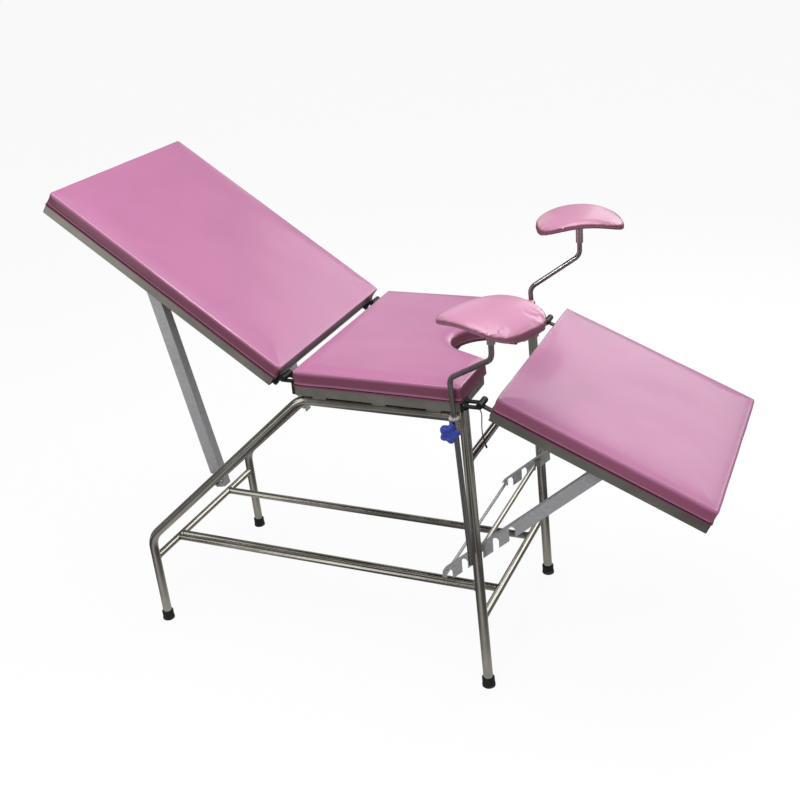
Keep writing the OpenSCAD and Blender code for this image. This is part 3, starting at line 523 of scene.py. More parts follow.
BLACK_PLASTIC = MouldedPlastic("black_plastic", (0.014, 0.014, 0.015), gloss=0.42)
BUSH_NYLON = MouldedPlastic("bush_nylon", (0.62, 0.6, 0.54), gloss=0.45)
DARK_BOARD = Board("dark_board", (0.05, 0.028, 0.022))
BLACK_CORD = Rubber("black_cord", (0.014, 0.014, 0.016))
FLOOR_PAINT = FloorPaint("floor_paint", (0.93, 0.93, 0.93))


# Mesh work

def new_object(name: str, mesh: bpy.types.Mesh, *finishes: Finish,
               smooth: bool = True) -> bpy.types.Object:
    """Links a mesh into the scene as an object at the origin.

    Args:
        name: the piece's name.
        mesh: its mesh, in the frame's coordinates.
        finishes: its finishes, in the order of the faces' material numbers.
        smooth: whether its faces are shaded smooth.

    Returns:
        The object.
    """
    mesh.name = name
    mesh.materials.clear()
    for finish in finishes:
        mesh.materials.append(finish.material())
    if smooth:
        mesh.polygons.foreach_set("use_smooth", [True] * len(mesh.polygons))
    made = bpy.data.objects.new(name, mesh)
    bpy.context.scene.collection.objects.link(made)
    return made


def mesh_of(points: Iterable[Sequence[float]], faces: Iterable[Sequence[int]],
            edges: Iterable[Sequence[int]] = ()) -> bpy.types.Mesh:
    """A mesh from plain lists.

    Args:
        points: its points, in metres.
        faces: the points of each face.
        edges: edges that belong to no face.

    Returns:
        The mesh.
    """
    mesh = bpy.data.meshes.new("raw")
    mesh.from_pydata([tuple(p) for p in points], list(edges), [tuple(f) for f in faces])
    mesh.validate()
    mesh.update()
    return mesh


@contextmanager
def edited(mesh: bpy.types.Mesh) -> Iterator[bmesh.types.BMesh]:
    """A mesh opened for editing, and written back at the end.

    Args:
        mesh: the mesh.

    Returns:
        Its editable form, as the value of a with statement.
    """
    work = bmesh.new()
    work.from_mesh(mesh)
    yield work
    work.to_mesh(mesh)
    work.free()


def outward(mesh: bpy.types.Mesh) -> bpy.types.Mesh:
    """Merges doubled points of a mesh and turns its faces outwards.

    Args:
        mesh: the mesh, which is changed.

    Returns:
        The same mesh.
    """
    with edited(mesh) as work:
        bmesh.ops.remove_doubles(work, verts=work.verts, dist=DOUBLED)
        bmesh.ops.recalc_face_normals(work, faces=work.faces)
    mesh.update()
    return mesh


def settled(source: bpy.types.Object) -> bpy.types.Mesh:
    """The mesh of an object with its modifiers applied; the object is removed.

    Args:
        source: the object.

    Returns:
        The mesh.
    """
    depsgraph = bpy.context.evaluated_depsgraph_get()
    depsgraph.update()
    mesh = bpy.data.meshes.new_from_object(source.evaluated_get(depsgraph))
    bpy.data.objects.remove(source)
    return mesh


def rows_of(mesh: bpy.types.Mesh, what: str = "co") -> np.ndarray:
    """The points of a mesh, or their normals, as rows of x, y and z.

    Args:
        mesh: the mesh.
        what: "co" for the points and "normal" for the normals.

    Returns:
        One row for each point.
    """
    found = np.zeros(len(mesh.vertices) * 3, np.float64)
    mesh.vertices.foreach_get(what, found)
    return found.reshape(-1, 3)


def carried(piece: bpy.types.Object, body: str) -> None:
    """Makes a finished piece ride on its body and reports it.

    Args:
        piece: the piece.
        body: the body that it moves with.
    """
    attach(piece, body)
    LOG.info("%s: %d faces", piece.name, len(piece.data.polygons))


def round_turns(steps: int) -> list[float]:
    """The angles of equal steps once round."""
    return [2 * math.pi * i / steps for i in range(steps)]


def set_coordinates(mesh: bpy.types.Mesh, points: np.ndarray) -> None:
    """Moves the points of a mesh."""
    mesh.vertices.foreach_set("co", points.astype(np.float32).ravel())
    mesh.update()


def set_attribute(mesh: bpy.types.Mesh, name: str, values: np.ndarray) -> None:
    """Gives each point of a mesh a number that the materials can read."""
    layer = mesh.attributes.get(name) or mesh.attributes.new(name, "FLOAT", "POINT")
    layer.data.foreach_set("value", values.astype(np.float32))


def lathe(profile: Sequence[tuple[float, float]], steps: int) -> bpy.types.Mesh:
    """A closed shape turned about Z from a profile of radius and height.

    Args:
        profile: radii and heights from the lower end to the upper end, in metres.
        steps: how many points go round.

    Returns:
        The mesh.
    """
    points = [(r * math.cos(turn), r * math.sin(turn), z)
              for r, z in profile for turn in round_turns(steps)]
    last = (len(profile) - 1) * steps
    faces = [[j + i, j + (i + 1) % steps, j + steps + (i + 1) % steps, j + steps + i]
             for j in range(0, last, steps) for i in range(steps)]
    return mesh_of(points, [*faces, range(steps)[::-1], range(last, last + steps)])


def bevelled_block(size: Sequence[float], radius: float, segments: int = 3) -> bpy.types.Mesh:
    """A block about the origin with rounded edges.

    Args:
        size: its sides, in metres.
        radius: how far the rounding reaches.
        segments: the steps of the rounding.

    Returns:
        The mesh.
    """
    mesh = bpy.data.meshes.new("block")
    with edited(mesh) as work:
        bmesh.ops.create_cube(work, size=1.0)
        bmesh.ops.scale(work, vec=Vector(size), verts=work.verts)
        bmesh.ops.bevel(work, geom=list(work.edges), offset=radius, segments=segments,
                        profile=0.6, affect="EDGES")
    return mesh


def joined(meshes: Sequence[bpy.types.Mesh]) -> bpy.types.Mesh:
    """Several meshes as one.

    Args:
        meshes: the meshes.

    Returns:
        A new mesh.
    """
    made = bpy.data.meshes.new("joined")
    with edited(made) as work:
        for mesh in meshes:
            work.from_mesh(mesh)
    return made


def aimed(origin: Vector, aim: Vector) -> Matrix:
    """A motion that carries the Z axis to a direction at a place."""
    return Matrix.Translation(origin) @ aim.to_track_quat("Z", "Y").to_matrix().to_4x4()


def moved(mesh: bpy.types.Mesh, matrix: Matrix) -> bpy.types.Mesh:
    """A mesh after a motion.

    Args:
        mesh: the mesh, which is changed.
        matrix: the motion.

    Returns:
        The same mesh.
    """
    mesh.transform(matrix)
    mesh.update()
    return mesh


# Geometry nodes

class Pattern(Graph):
    """A Geometry Nodes tree with named inputs, applied to a path or a set of points."""

    def __init__(self, name: str, **inputs: float | int | None) -> None:
        """Makes the tree's group sockets.

        Args:
            name: the tree's name.
            inputs: the first value of each input; None stands for an object.
        """
        super().__init__(bpy.data.node_groups.new(name, "GeometryNodeTree"))
        self.socket("Geometry", "INPUT", "NodeSocketGeometry")
        self.identifiers: dict[str, str] = {}
        for label, value in inputs.items():
            socket = self.socket(label, "INPUT", SOCKET_KINDS[type(value)])
            if value is not None:
                socket.default_value = value
            self.identifiers[label] = socket.identifier
        self.socket("Geometry", "OUTPUT", "NodeSocketGeometry")
        self.start = self.node("NodeGroupInput")

    def socket(self, label: str, way: str, kind: str) -> bpy.types.NodeTreeInterfaceSocket:
        """Adds one socket to the tree's own inputs or outputs."""
        return self.tree.interface.new_socket(label, in_out=way, socket_type=kind)

    def given(self, label: str = "Geometry") -> bpy.types.NodeSocket:
        """The group input of a name."""
        return self.start.outputs[label]

    def path(self) -> bpy.types.NodeSocket:
        """The edges that the tree works on, as curves."""
        return self.node("GeometryNodeMeshToCurve", None, {0: self.given()}).outputs[0]

    def spaced(self, label: str) -> bpy.types.NodeSocket:
        """The path as points that lie an input's length apart."""
        return self.node("GeometryNodeResampleCurve", {"mode": "LENGTH"},
                         {"Curve": self.path(), "Length": self.given(label)}).outputs[0]

    def chance(self, low: float, high: float) -> bpy.types.NodeSocket:
        """A random number for each point, from the tree's seed."""
        return self.node("FunctionNodeRandomValue", {"data_type": "FLOAT"},
                         {2: low, 3: high, "Seed": self.given("Seed")}).outputs[1]

    def facing(self, axis: str, way: bpy.types.NodeSocket, low: float,
               high: float) -> bpy.types.NodeSocket:
        """A turn that lays an axis along a direction, after a random spin about Z.

        Args:
            axis: the axis of the shape that is laid.
            way: the direction.
            low: the least spin, in radians.
            high: the greatest spin.

        Returns:
            The rotation's socket.
        """
        laid = self.node("FunctionNodeAlignRotationToVector", {"axis": axis}, {"Vector": way})
        spin = self.node("ShaderNodeCombineXYZ", None, {2: self.chance(low, high)})
        return self.node("FunctionNodeRotateRotation", {"rotation_space": "LOCAL"},
                         {0: laid.outputs[0], 1: spin.outputs[0]}).outputs[0]

    def repeat(self, points: bpy.types.NodeSocket, instance: bpy.types.NodeSocket,
               finish: Finish, **turn: bpy.types.NodeSocket) -> "Pattern":
        """Ends the tree with one shape set on every point.

        Args:
            points: where the shapes go.
            instance: the shape.
            finish: its finish.
            turn: the Scale or Rotation of each shape.

        Returns:
            The pattern itself.
        """
        return self.close(self.node("GeometryNodeInstanceOnPoints", None, {
            "Points": points, "Instance": instance, **turn}).outputs[0], finish)

    def close(self, geometry: bpy.types.NodeSocket, finish: Finish) -> "Pattern":
        """Ends the tree: instances made real, shaded smooth, and given their material.

        Args:
            geometry: what the tree has made.
            finish: its finish.

        Returns:
            The pattern itself.
        """
        real = self.node("GeometryNodeRealizeInstances", None, {0: geometry})
        smooth = self.node("GeometryNodeSetShadeSmooth", None, {0: real.outputs[0]})
        painted = self.node("GeometryNodeSetMaterial", None,
                            {0: smooth.outputs[0], "Material": finish.material()})
        self.node("NodeGroupOutput", None, {0: painted.outputs[0]})
        return self

    def grown(self, name: str, source: bpy.types.Mesh, finish: Finish,
              **values: float | int | bpy.types.Object) -> bpy.types.Object:
        """Runs the tree on a mesh and keeps the result as a plain piece.

        Args:
            name: the piece's name.
            source: the path or points that the tree works on.
            finish: the piece's finish.
            values: the tree's inputs.

        Returns:
            The piece.
        """
        carrier = bpy.data.objects.new(name + "_source", source)
        bpy.context.scene.collection.objects.link(carrier)
        modifier = carrier.modifiers.new("pattern", "NODES")
        modifier.node_group = self.tree
        for label, value in values.items():
            modifier[self.identifiers[label]] = value
        return new_object(name, settled(carrier), finish)


def bead_pattern(finish: Finish) -> Pattern:
    """Overlapping beads of weld metal along a path.

    Args:
        finish: the metal.

    Returns:
        The pattern.
    """
    tree = Pattern("weld_beads", Spacing=0.002, Bead=0.0017, Seed=3)
    bead = tree.node("GeometryNodeMeshIcoSphere", None,
                     {"Radius": tree.given("Bead"), "Subdivisions": 2})
    return tree.repeat(tree.spaced("Spacing"), bead.outputs[0], finish,
                       Scale=tree.chance(0.82, 1.12))


def staple_pattern(finish: Finish) -> Pattern:
    """Staples set along a path, each lying along it at a slight angle.

    Args:
        finish: the wire.

    Returns:
        The pattern.
    """
    tree = Pattern("staples", Pitch=0.03, Crown=0.009, Wire=0.0009, Seed=11)
    size = tree.node("ShaderNodeCombineXYZ", None,
                     {0: tree.given("Crown"), 1: tree.given("Wire"), 2: tree.given("Wire")})
    staple = tree.node("GeometryNodeMeshCube", None, {"Size": size.outputs[0]})
    tangent = tree.node("GeometryNodeInputTangent")
    return tree.repeat(tree.spaced("Pitch"), staple.outputs[0], finish,
                       Rotation=tree.facing("X", tangent.outputs[0], -0.35, 0.35))


def screw_pattern(finish: Finish) -> Pattern:
    """Screw heads on points, each turned to the direction that its point carries.

    Args:
        finish: the screws' metal.

    Returns:
        The pattern.
    """
    tree = Pattern("screws", Head=None, Seed=5)
    head = tree.node("GeometryNodeObjectInfo", None, {"Object": tree.given("Head")})
    aim = tree.node("GeometryNodeInputNamedAttribute", {"data_type": "FLOAT_VECTOR"},
                    {"Name": "aim"})
    return tree.repeat(tree.given(), head.outputs["Geometry"], finish,
                       Rotation=tree.facing("Z", aim.outputs[0], 0.0, 3.1))


def rib_pattern(finish: Finish) -> Pattern:
    """Round ribs that follow closed rings, swept with a small round section.

    Args:
        finish: the ribs' rubber.

    Returns:
        The pattern.
    """
    tree = Pattern("ribs", Rib=0.0008)
    section = tree.node("GeometryNodeCurvePrimitiveCircle", None,
                        {"Resolution": 8, "Radius": tree.given("Rib")})
    swept = tree.node("GeometryNodeCurveToMesh", None,
                      {"Curve": tree.path(), "Profile Curve": section.outputs[0]})
    return tree.close(swept.outputs[0], finish)


def loop_mesh(loops: Sequence[Sequence[Vector]]) -> bpy.types.Mesh:
    """Closed paths as a mesh of edges only.

    Args:
        loops: the points of each path.

    Returns:
        The mesh.
    """
    points: list[Vector] = []
    edges: list[tuple[int, int]] = []
    for loop in loops:
        first, count = len(points), len(loop)
        points += list(loop)
        edges += [(first + i, first + (i + 1) % count) for i in range(count)]
    return mesh_of(points, [], edges)


def saddle(bar: Vector, along: Vector, bar_r: float, axis: Vector, run: Vector,
           radius: float) -> list[Vector]:
    """The line where a round bar meets a round tube.

    Args:
        bar: a point of the bar's axis, outside the tube.
        along: the bar's direction, towards the tube.
        bar_r: the bar's radius, in millimetres.
        axis: a point of the tube's axis.
        run: the tube's direction.
        radius: the tube's radius, in millimetres.

    Returns:
        The points of the closed line.
    """
    along, run = along.normalized(), run.normalized()
    side = along.orthogonal().normalized()
    other = along.cross(side)
    line: list[Vector] = []
    small, large = bar_r * MM, radius * MM
    for turn in round_turns(SADDLE_STEPS):
        start = bar + side * (small * math.cos(turn)) + other * (small * math.sin(turn))
        away = start - axis
        away -= run * away.dot(run)
        step = along - run * along.dot(run)
        a, b = step.dot(step), 2 * away.dot(step)
        c = away.dot(away) - large * large
        under = max(0.0, b * b - 4 * a * c)
        line.append(start + along * ((-b - math.sqrt(under)) / (2 * a)))
    return line


# Frame

@dataclass
class SideFrames:
    """The weld beads of the tube frame and the ribs round its rubber feet."""

    tube_r: float = 12.5
    bar_r: float = 10.0
    brace_r: float = 8.0
    catch_tube_r: float = 8.0
    catch_rod_r: float = 6.5
    foot_r: float = 15.5
    bar_from: float = 100.0
    nested: float = 0.98
    sunk: float = 0.97
    frame_y: float = 270.0
    stretcher_y: float = 133.0
    brace_y: float = -153.0
    top_z: float = 753.0
    lower_z: float = 202.0
    cross_z: float = 640.0
    catch_z: float = 383.0
    brace_z: float = 290.0
    rear_catch: tuple[float, float] = (-284.0, 481.444)
    front_foot: float = 456.0
    front_head: tuple[float, float] = (432.0, 776.0)
    rear_foot: float = -519.0
    rear_bend: tuple[float, float] = (-528.0, 268.0)
    top_bend_x: float = 4.0
    rib_heights: tuple[float, ...] = (13.0, 19.0, 25.0)

    def front_x(self, z: float) -> float:
        """Where the front legs' axis lies at a height."""
        return self.front_foot + (self.front_head[0] - self.front_foot) * z / self.front_head[1]

    def rear_x(self, z: float) -> float:
        """Where the rear legs' axis lies at a height below the bend."""
        return self.rear_foot + (self.rear_bend[0] - self.rear_foot) * z / self.rear_bend[1]

    def welds(self) -> list[list[Vector]]:
        """The lines where the frame's tubes are welded to each other.

        Returns:
            The closed lines.
        """
        lines: list[list[Vector]] = []
        x_axis, y_axis = Vector((1, 0, 0)), Vector((0, 1, 0))
        front_low, rear_low = self.front_x(self.lower_z), self.rear_x(self.lower_z)
        for side in Side:
            y = side.value * self.frame_y
            out = y_axis * side.value
            front = place(self.front_foot, y, 0.0)
            front_run = place(self.front_head[0], y, self.front_head[1]) - front
            rear = place(self.rear_foot, y, 0.0)
            bend = place(self.rear_bend[0], y, self.rear_bend[1])
            for z, r in ((self.lower_z, self.bar_r), (self.cross_z, self.bar_r),
                         (self.catch_z, self.catch_rod_r)):
                lines.append(saddle(place(self.front_x(z), 0.0, z), out, r, front, front_run,
                                    self.tube_r))
            lines.append(saddle(place(rear_low, 0.0, self.lower_z), out, self.bar_r, rear,
                                bend - rear, self.tube_r))
            lines.append(saddle(place(self.bar_from, y, self.top_z), x_axis,
                                self.tube_r * self.nested, front, front_run, self.tube_r))
            lines.append(saddle(place(self.rear_catch[0], 0.0, self.rear_catch[1]), out,
                                self.catch_tube_r, bend,
                                place(self.top_bend_x, y, self.top_z) - bend, self.tube_r))
            middle = place(0.0, side.value * self.stretcher_y, self.lower_z)
            for x, way in ((front_low, x_axis), (rear_low, -x_axis)):
                lines.append(saddle(middle, way, self.bar_r * self.sunk,
                                    place(x, 0.0, self.lower_z), y_axis, self.bar_r))
        low = place(rear_low, self.brace_y, self.lower_z)
        high = place(self.front_x(self.brace_z), -self.frame_y, self.brace_z)
        leg = place(self.front_foot, -self.frame_y, 0.0)
        leg_run = place(self.front_head[0], -self.frame_y, self.front_head[1]) - leg
        middle = (low + high) / 2
        lines.append(saddle(middle, low - high, self.brace_r, low, y_axis, self.bar_r))
        lines.append(saddle(middle, high - low, self.brace_r, leg, leg_run, self.tube_r))
        return lines

    def ribs(self) -> list[list[Vector]]:
        """Rings round the rubber feet.

        Returns:
            The closed lines.
        """
        turned = [Vector((math.cos(t), math.sin(t), 0.0)) for t in round_turns(RIB_STEPS)]
        return [[place(leg_x(z), side.value * self.frame_y, z) + way * self.foot_r * MM
                 for way in turned]
                for side in Side for leg_x in (self.rear_x, self.front_x)
                for z in self.rib_heights]

    def build(self) -> None:
        """Makes the frame's welds and ribs."""
        beads = bead_pattern(WELD_STEEL).grown(
            "frame_welds", loop_mesh(self.welds()), WELD_STEEL,
            Spacing=0.0021, Bead=0.0016, Seed=7)
        carried(beads, "frame")
        ribs = rib_pattern(BLACK_RUBBER).grown("foot_ribs", loop_mesh(self.ribs()),
                                               BLACK_RUBBER, Rib=0.0009)
        carried(ribs, "frame")


# Lanyard

@dataclass
class Lanyard:
    """The thin black cord that hangs from the near leg hinge and ends in a knot."""

    y: float = -262.0
    radius: float = 1.3
    knot_r: float = 2.6
    route: tuple[tuple[float, float], ...] = (
        (438.0, 779.5), (444.0, 779.5), (451.0, 780.5), (458.0, 780.5), (464.0, 778.5),
        (469.0, 774.0), (472.0, 767.0), (473.0, 759.0), (472.5, 750.0), (472.0, 741.0),
        (471.5, 732.0), (471.5, 723.0), (472.0, 714.0), (473.0, 706.0), (475.0, 698.0),
        (477.0, 691.0), (479.0, 684.0), (479.5, 682.0), (480.5, 678.0), (481.0, 676.0))
    knot_points: int = 3
    knot_rows: int = 24
    wraps: int = 3
    wrap_power: float = 0.6
    wrap_share: tuple[float, float] = (0.55, 0.45)
    swell_power: float = 0.4
    knot_steps: int = 20

    def knot(self, top: Vector, end: Vector) -> bpy.types.Object:
        """The overhand knot: three wraps of the cord round its own end.

        Args:
            top: where the knot starts.
            end: the cord's end.

        Returns:
            The knot.
        """
        long = (end - top).length
        profile: list[tuple[float, float]] = []
        plain, wrapped = self.wrap_share
        for i in range(self.knot_rows + 1):
            share = i / self.knot_rows
            wrap = abs(math.sin(self.wraps * math.pi * share)) ** self.wrap_power
            swell = 0.0
            if 0 < i < self.knot_rows:
                swell = math.sin(math.pi * share) ** self.swell_power
            reach = (self.radius + (self.knot_r - self.radius) * swell
                     * (plain + wrapped * wrap))
            profile.append((reach * MM, long * share))
        shape = moved(lathe(profile, self.knot_steps), aimed(top, end - top))
        made = new_object("lanyard_knot", outward(shape), BLACK_CORD)
        carried(made, "frame")
        return made

    def build(self) -> None:
        """Makes the cord along its route, and its knot."""
        points = [place(x, self.y, z) for x, z in self.route]
        data = bpy.data.curves.new("lanyard", "CURVE")
        data.dimensions = "3D"
        data.bevel_depth = self.radius * MM
        data.bevel_resolution = 4
        data.use_fill_caps = True
        spline = data.splines.new("POLY")
        spline.points.add(len(points) - 1)
        for held, point in zip(spline.points, points):
            held.co = (*point, 1.0)
        data.materials.append(BLACK_CORD.material())
        cord = bpy.data.objects.new("lanyard", data)
        bpy.context.scene.collection.objects.link(cord)
        knot = self.knot(points[-self.knot_points - 1], points[-1])
        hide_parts("hinge_lanyard")
        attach(cord, "frame")


# Upholstery

@dataclass
class Cushion:
    """A pad whose cover is blown up by a cloth simulation and then settled on its board."""

    node: str
    body: str
    slot: str
    finish: Finish
    section: Section = SEAT
    voxel: float = 0.006
    shrink: float = 0.0016
    cap: float = 0.0012
    fill: float = 0.8
    pressure: float = 4.0
    frames: int = 20
    band_top: float = 0.92
    corners: list[tuple[float, float]] = field(default_factory=list)
    ends: tuple[float, float] | None = None
    half_w: float = 300.0
    heights: tuple[float, float] = (804.0, 840.0)
    edge_zone: float = 12.0
    edge_power: float = 5.0
    touch: float = 0.0012
    facing_down: float = 0.4
    clearance: float = 0.0001
    wave_depth: float = 0.0002
    waves: tuple[tuple[float, float, float], ...] = ((47.0, 1.3, 31.0), (53.0, 1.7, 23.0))
    wave_share: tuple[float, float] = (0.35, 0.65)
    steepness: float = 1.4
    folds: float = 9.0
    fold_twist: float = 1.2
    pleat_depth: float = 0.0014
    pleat_reach: float = 0.03
    tuck_depth: float = 0.0018
    tuck_reach: float = 0.011
    swell: float = 1.2
    side_zone: tuple[float, float] = (0.25, 0.35)
    roll_zone: tuple[float, float] = (0.2, 0.96)
    roll_fade: float = 0.1

    def start_mesh(self) -> bpy.types.Mesh:
        """The node's shape in the flat position, remeshed into even squares.

        Returns:
            The mesh that the cover starts from.
        """
        raw = outward(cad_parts[self.node].data.copy())
        raw.transform(self.section.matrix.inverted())
        carrier = new_object(self.node + "_raw", raw, self.finish)
        remesh = carrier.modifiers.new("even", "REMESH")
        remesh.mode = "VOXEL"
        remesh.voxel_size = self.voxel
        return settled(carrier)

    def simulated(self, mesh: bpy.types.Mesh, held: np.ndarray) -> np.ndarray:
        """Where the cover's points go under air pressure.

        Args:
            mesh: the cover before it is blown up.
            held: which points are held by the board.

        Returns:
            The points after the last frame.
        """
        carrier = new_object(self.node + "_cloth", mesh.copy(), self.finish)
        group = carrier.vertex_groups.new(name="held")
        group.add([int(i) for i in np.flatnonzero(held)], 1.0, "REPLACE")
        cloth = carrier.modifiers.new("cloth", "CLOTH")
        settings = cloth.settings
        settings.quality = 5
        settings.use_pressure = True
        settings.uniform_pressure_force = self.pressure
        settings.effector_weights.gravity = 0.0
        settings.vertex_group_mass = "held"
        cloth.collision_settings.use_self_collision = False
        cloth.collision_settings.use_collision = False
        scene = bpy.context.scene
        for number in range(1, self.frames + 1):
            scene.frame_set(number)
        result = settled(carrier)
        scene.frame_set(1)
        points = rows_of(result)
        bpy.data.meshes.remove(result)
        return points

    def crisp(self, points: np.ndarray) -> np.ndarray:
        """Points near the cushion's edges, moved out to a squarer edge.

        Along an edge the cover goes round a zone of one radius. There its distances into
        the zone, as shares, are scaled from a circle to a flatter curve.

        Args:
            points: the cover's points.

        Returns:
            The moved points.
        """
        if self.ends is None:
            return points
        low = np.array(place(self.ends[0], -self.half_w, self.heights[0]))
        high = np.array(place(self.ends[1], self.half_w, self.heights[1]))
        middle, half, zone = (low + high) / 2, (high - low) / 2, self.edge_zone * MM
        away = points - middle
        share = np.clip((np.abs(away) - (half - zone)) / zone, 0.0, None)
        round_size = np.sqrt((share ** 2).sum(1))
        flat_size = (share ** self.edge_power).sum(1) ** (1 / self.edge_power)
        grown = np.where(round_size > 0.0, round_size / np.maximum(flat_size, TINY), 1.0)
        return points + np.sign(away) * share * zone * (grown - 1.0)[:, None]

    def wrinkled(self, points: np.ndarray, out: np.ndarray, low: float,
                 high: float) -> np.ndarray:
        """Adds soft unevenness, and pleats that fan out from the corners.

        Args:
            points: the cover's points.
            out: their normals, of no length where the cover lies on its board.
            low: the height of the lowest point.
            high: the height of the highest point.

        Returns:
            The moved points.
        """
        side = np.clip(1.0 - np.abs(out[:, 2]) * self.steepness, 0.0, 1.0)
        rise = np.clip((points[:, 2] - low) / (high - low), 0.0, 1.0)
        wave = sum(np.sin(points[:, i] * pitch + bend * np.sin(points[:, 1 - i] * other))
                   for i, (pitch, bend, other) in enumerate(self.waves))
        level, steep = self.wave_share
        depth = self.wave_depth * wave * (level + steep * side)
        for x, y in self.corners:
            dx, dy = points[:, 0] - x, points[:, 1] - y
            reach = np.hypot(dx, dy)
            turn = np.arctan2(dy, dx)
            near = np.exp(-(reach / self.pleat_reach) ** 2)
            folds = np.maximum(0.0, np.sin(turn * self.folds + rise * self.fold_twist))
            tuck = np.exp(-(reach / self.tuck_reach) ** 2)
            depth -= self.pleat_depth * near * side * folds
            depth -= self.tuck_depth * tuck * side * (1.0 - rise)
        return points + out * depth[:, None]

    def marked(self, mesh: bpy.types.Mesh, steep: np.ndarray, rise: np.ndarray,
               under: np.ndarray) -> None:
        """Marks the points of the sides, the rolled edge and the underside.

        Args:
            mesh: the cover.
            steep: how upright each point's normal is, from 0 to 1.
            rise: each point's height as a share of the cushion's.
            under: 1 where a point lies on the board.
        """
        start, fade = self.side_zone
        low, high = self.roll_zone
        side = (1.0 - np.clip((steep - start) / fade, 0.0, 1.0)) * (rise < self.band_top)
        roll = (np.clip((high - steep) / self.roll_fade, 0.0, 1.0)
                * np.clip((steep - low) / self.roll_fade, 0.0, 1.0))
        # The side mark is where the vinyl is painted darker: painted shade on the sides.
        set_attribute(mesh, "band", side * (1.0 - under))
        set_attribute(mesh, "roll", roll * (rise > 0.5))
        set_attribute(mesh, "backing", under)

    def build(self) -> None:
        """Makes the cushion and sets it in its node's place."""
        mesh = self.start_mesh()
        points, out = rows_of(mesh), rows_of(mesh, "normal")
        low, high = points[:, 2].min(), points[:, 2].max()
        under = self.underside(points, out, low)
        free = (1.0 - under)[:, None]
        start = points - out * self.shrink * free
        start[:, 2] = np.maximum(start[:, 2], low)
        set_coordinates(mesh, start)
        end = start + out * self.shrink * self.swell * free
        end = self.simulated(mesh, under > 0.5)
        step = end - start
        size = np.linalg.norm(step, axis=1)
        step *= np.minimum(1.0, self.cap / np.maximum(size, TINY))[:, None]
        step *= free
        rest = self.wrinkled(start + step, out * free, low, high)
        set_coordinates(mesh, self.kept(self.crisp(rest), points, under, low))
        self.marked(mesh, np.abs(out[:, 2]), (points[:, 2] - low) / (high - low), under)
        mesh.transform(self.section.matrix)
        carrier = new_object(self.node + "_fine", mesh, self.finish)
        fine = carrier.modifiers.new("fine", "SUBSURF")
        fine.levels = fine.render_levels = 1
        piece = new_object(self.node + "_cover", settled(carrier), self.finish)
        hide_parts(self.node)
        carried(piece, self.body)

    def underside(self, points: np.ndarray, out: np.ndarray, low: float) -> np.ndarray:
        """1 where the cover lies on its board and 0 elsewhere."""
        touching = points[:, 2] < low + self.touch
        return (touching & (out[:, 2] < -self.facing_down)).astype(float)

    def kept(self, points: np.ndarray, first: np.ndarray, under: np.ndarray,
             low: float) -> np.ndarray:
        """The points, none of them lower than the board.

        Args:
            points: the cover's points at the end.
            first: the same points as the node has them.
            under: 1 where a point lies on the board.
            low: the height of the lowest point.

        Returns:
            The corrected points.
        """
        points[:, 2] = np.maximum(points[:, 2], low + self.clearance)
        points[under > 0.5] = first[under > 0.5]
        return points


@dataclass
class CrutchCushion(Cushion):
    """The saddle-shaped pad of a leg crutch, hollowed underneath where its disc lies."""

    disc: tuple[float, float] = (541.0, -366.0)
    disc_r: float = 33.0
    middle_r: float = 0.05
    under_zone: tuple[float, float] = (0.35, 0.4)

    def underside(self, points: np.ndarray, out: np.ndarray, low: float) -> np.ndarray:
        """1 on the lower face and 0 elsewhere, with a soft edge."""
        start, fade = self.under_zone
        return np.clip((-out[:, 2] - start) / fade, 0.0, 1.0)

    def kept(self, points: np.ndarray, first: np.ndarray, under: np.ndarray,
             low: float) -> np.ndarray:
        """The points, with those by the disc left where the node has them.

        Args:
            points: the cover's points at the end.
            first: the same points as the node has them.
            under: 1 on the lower face; not used here.
            low: the height of the lowest point; not used here.

        Returns:
            The corrected points.
        """
        centre = place(*self.disc, 0.0)
        reach = np.hypot(points[:, 0] - centre.x, points[:, 1] - centre.y)
        level = first[:, 2][reach < self.middle_r].mean()
        close = (reach < self.disc_r * MM) & (first[:, 2] < level)
        points[close] = first[close]
        return points


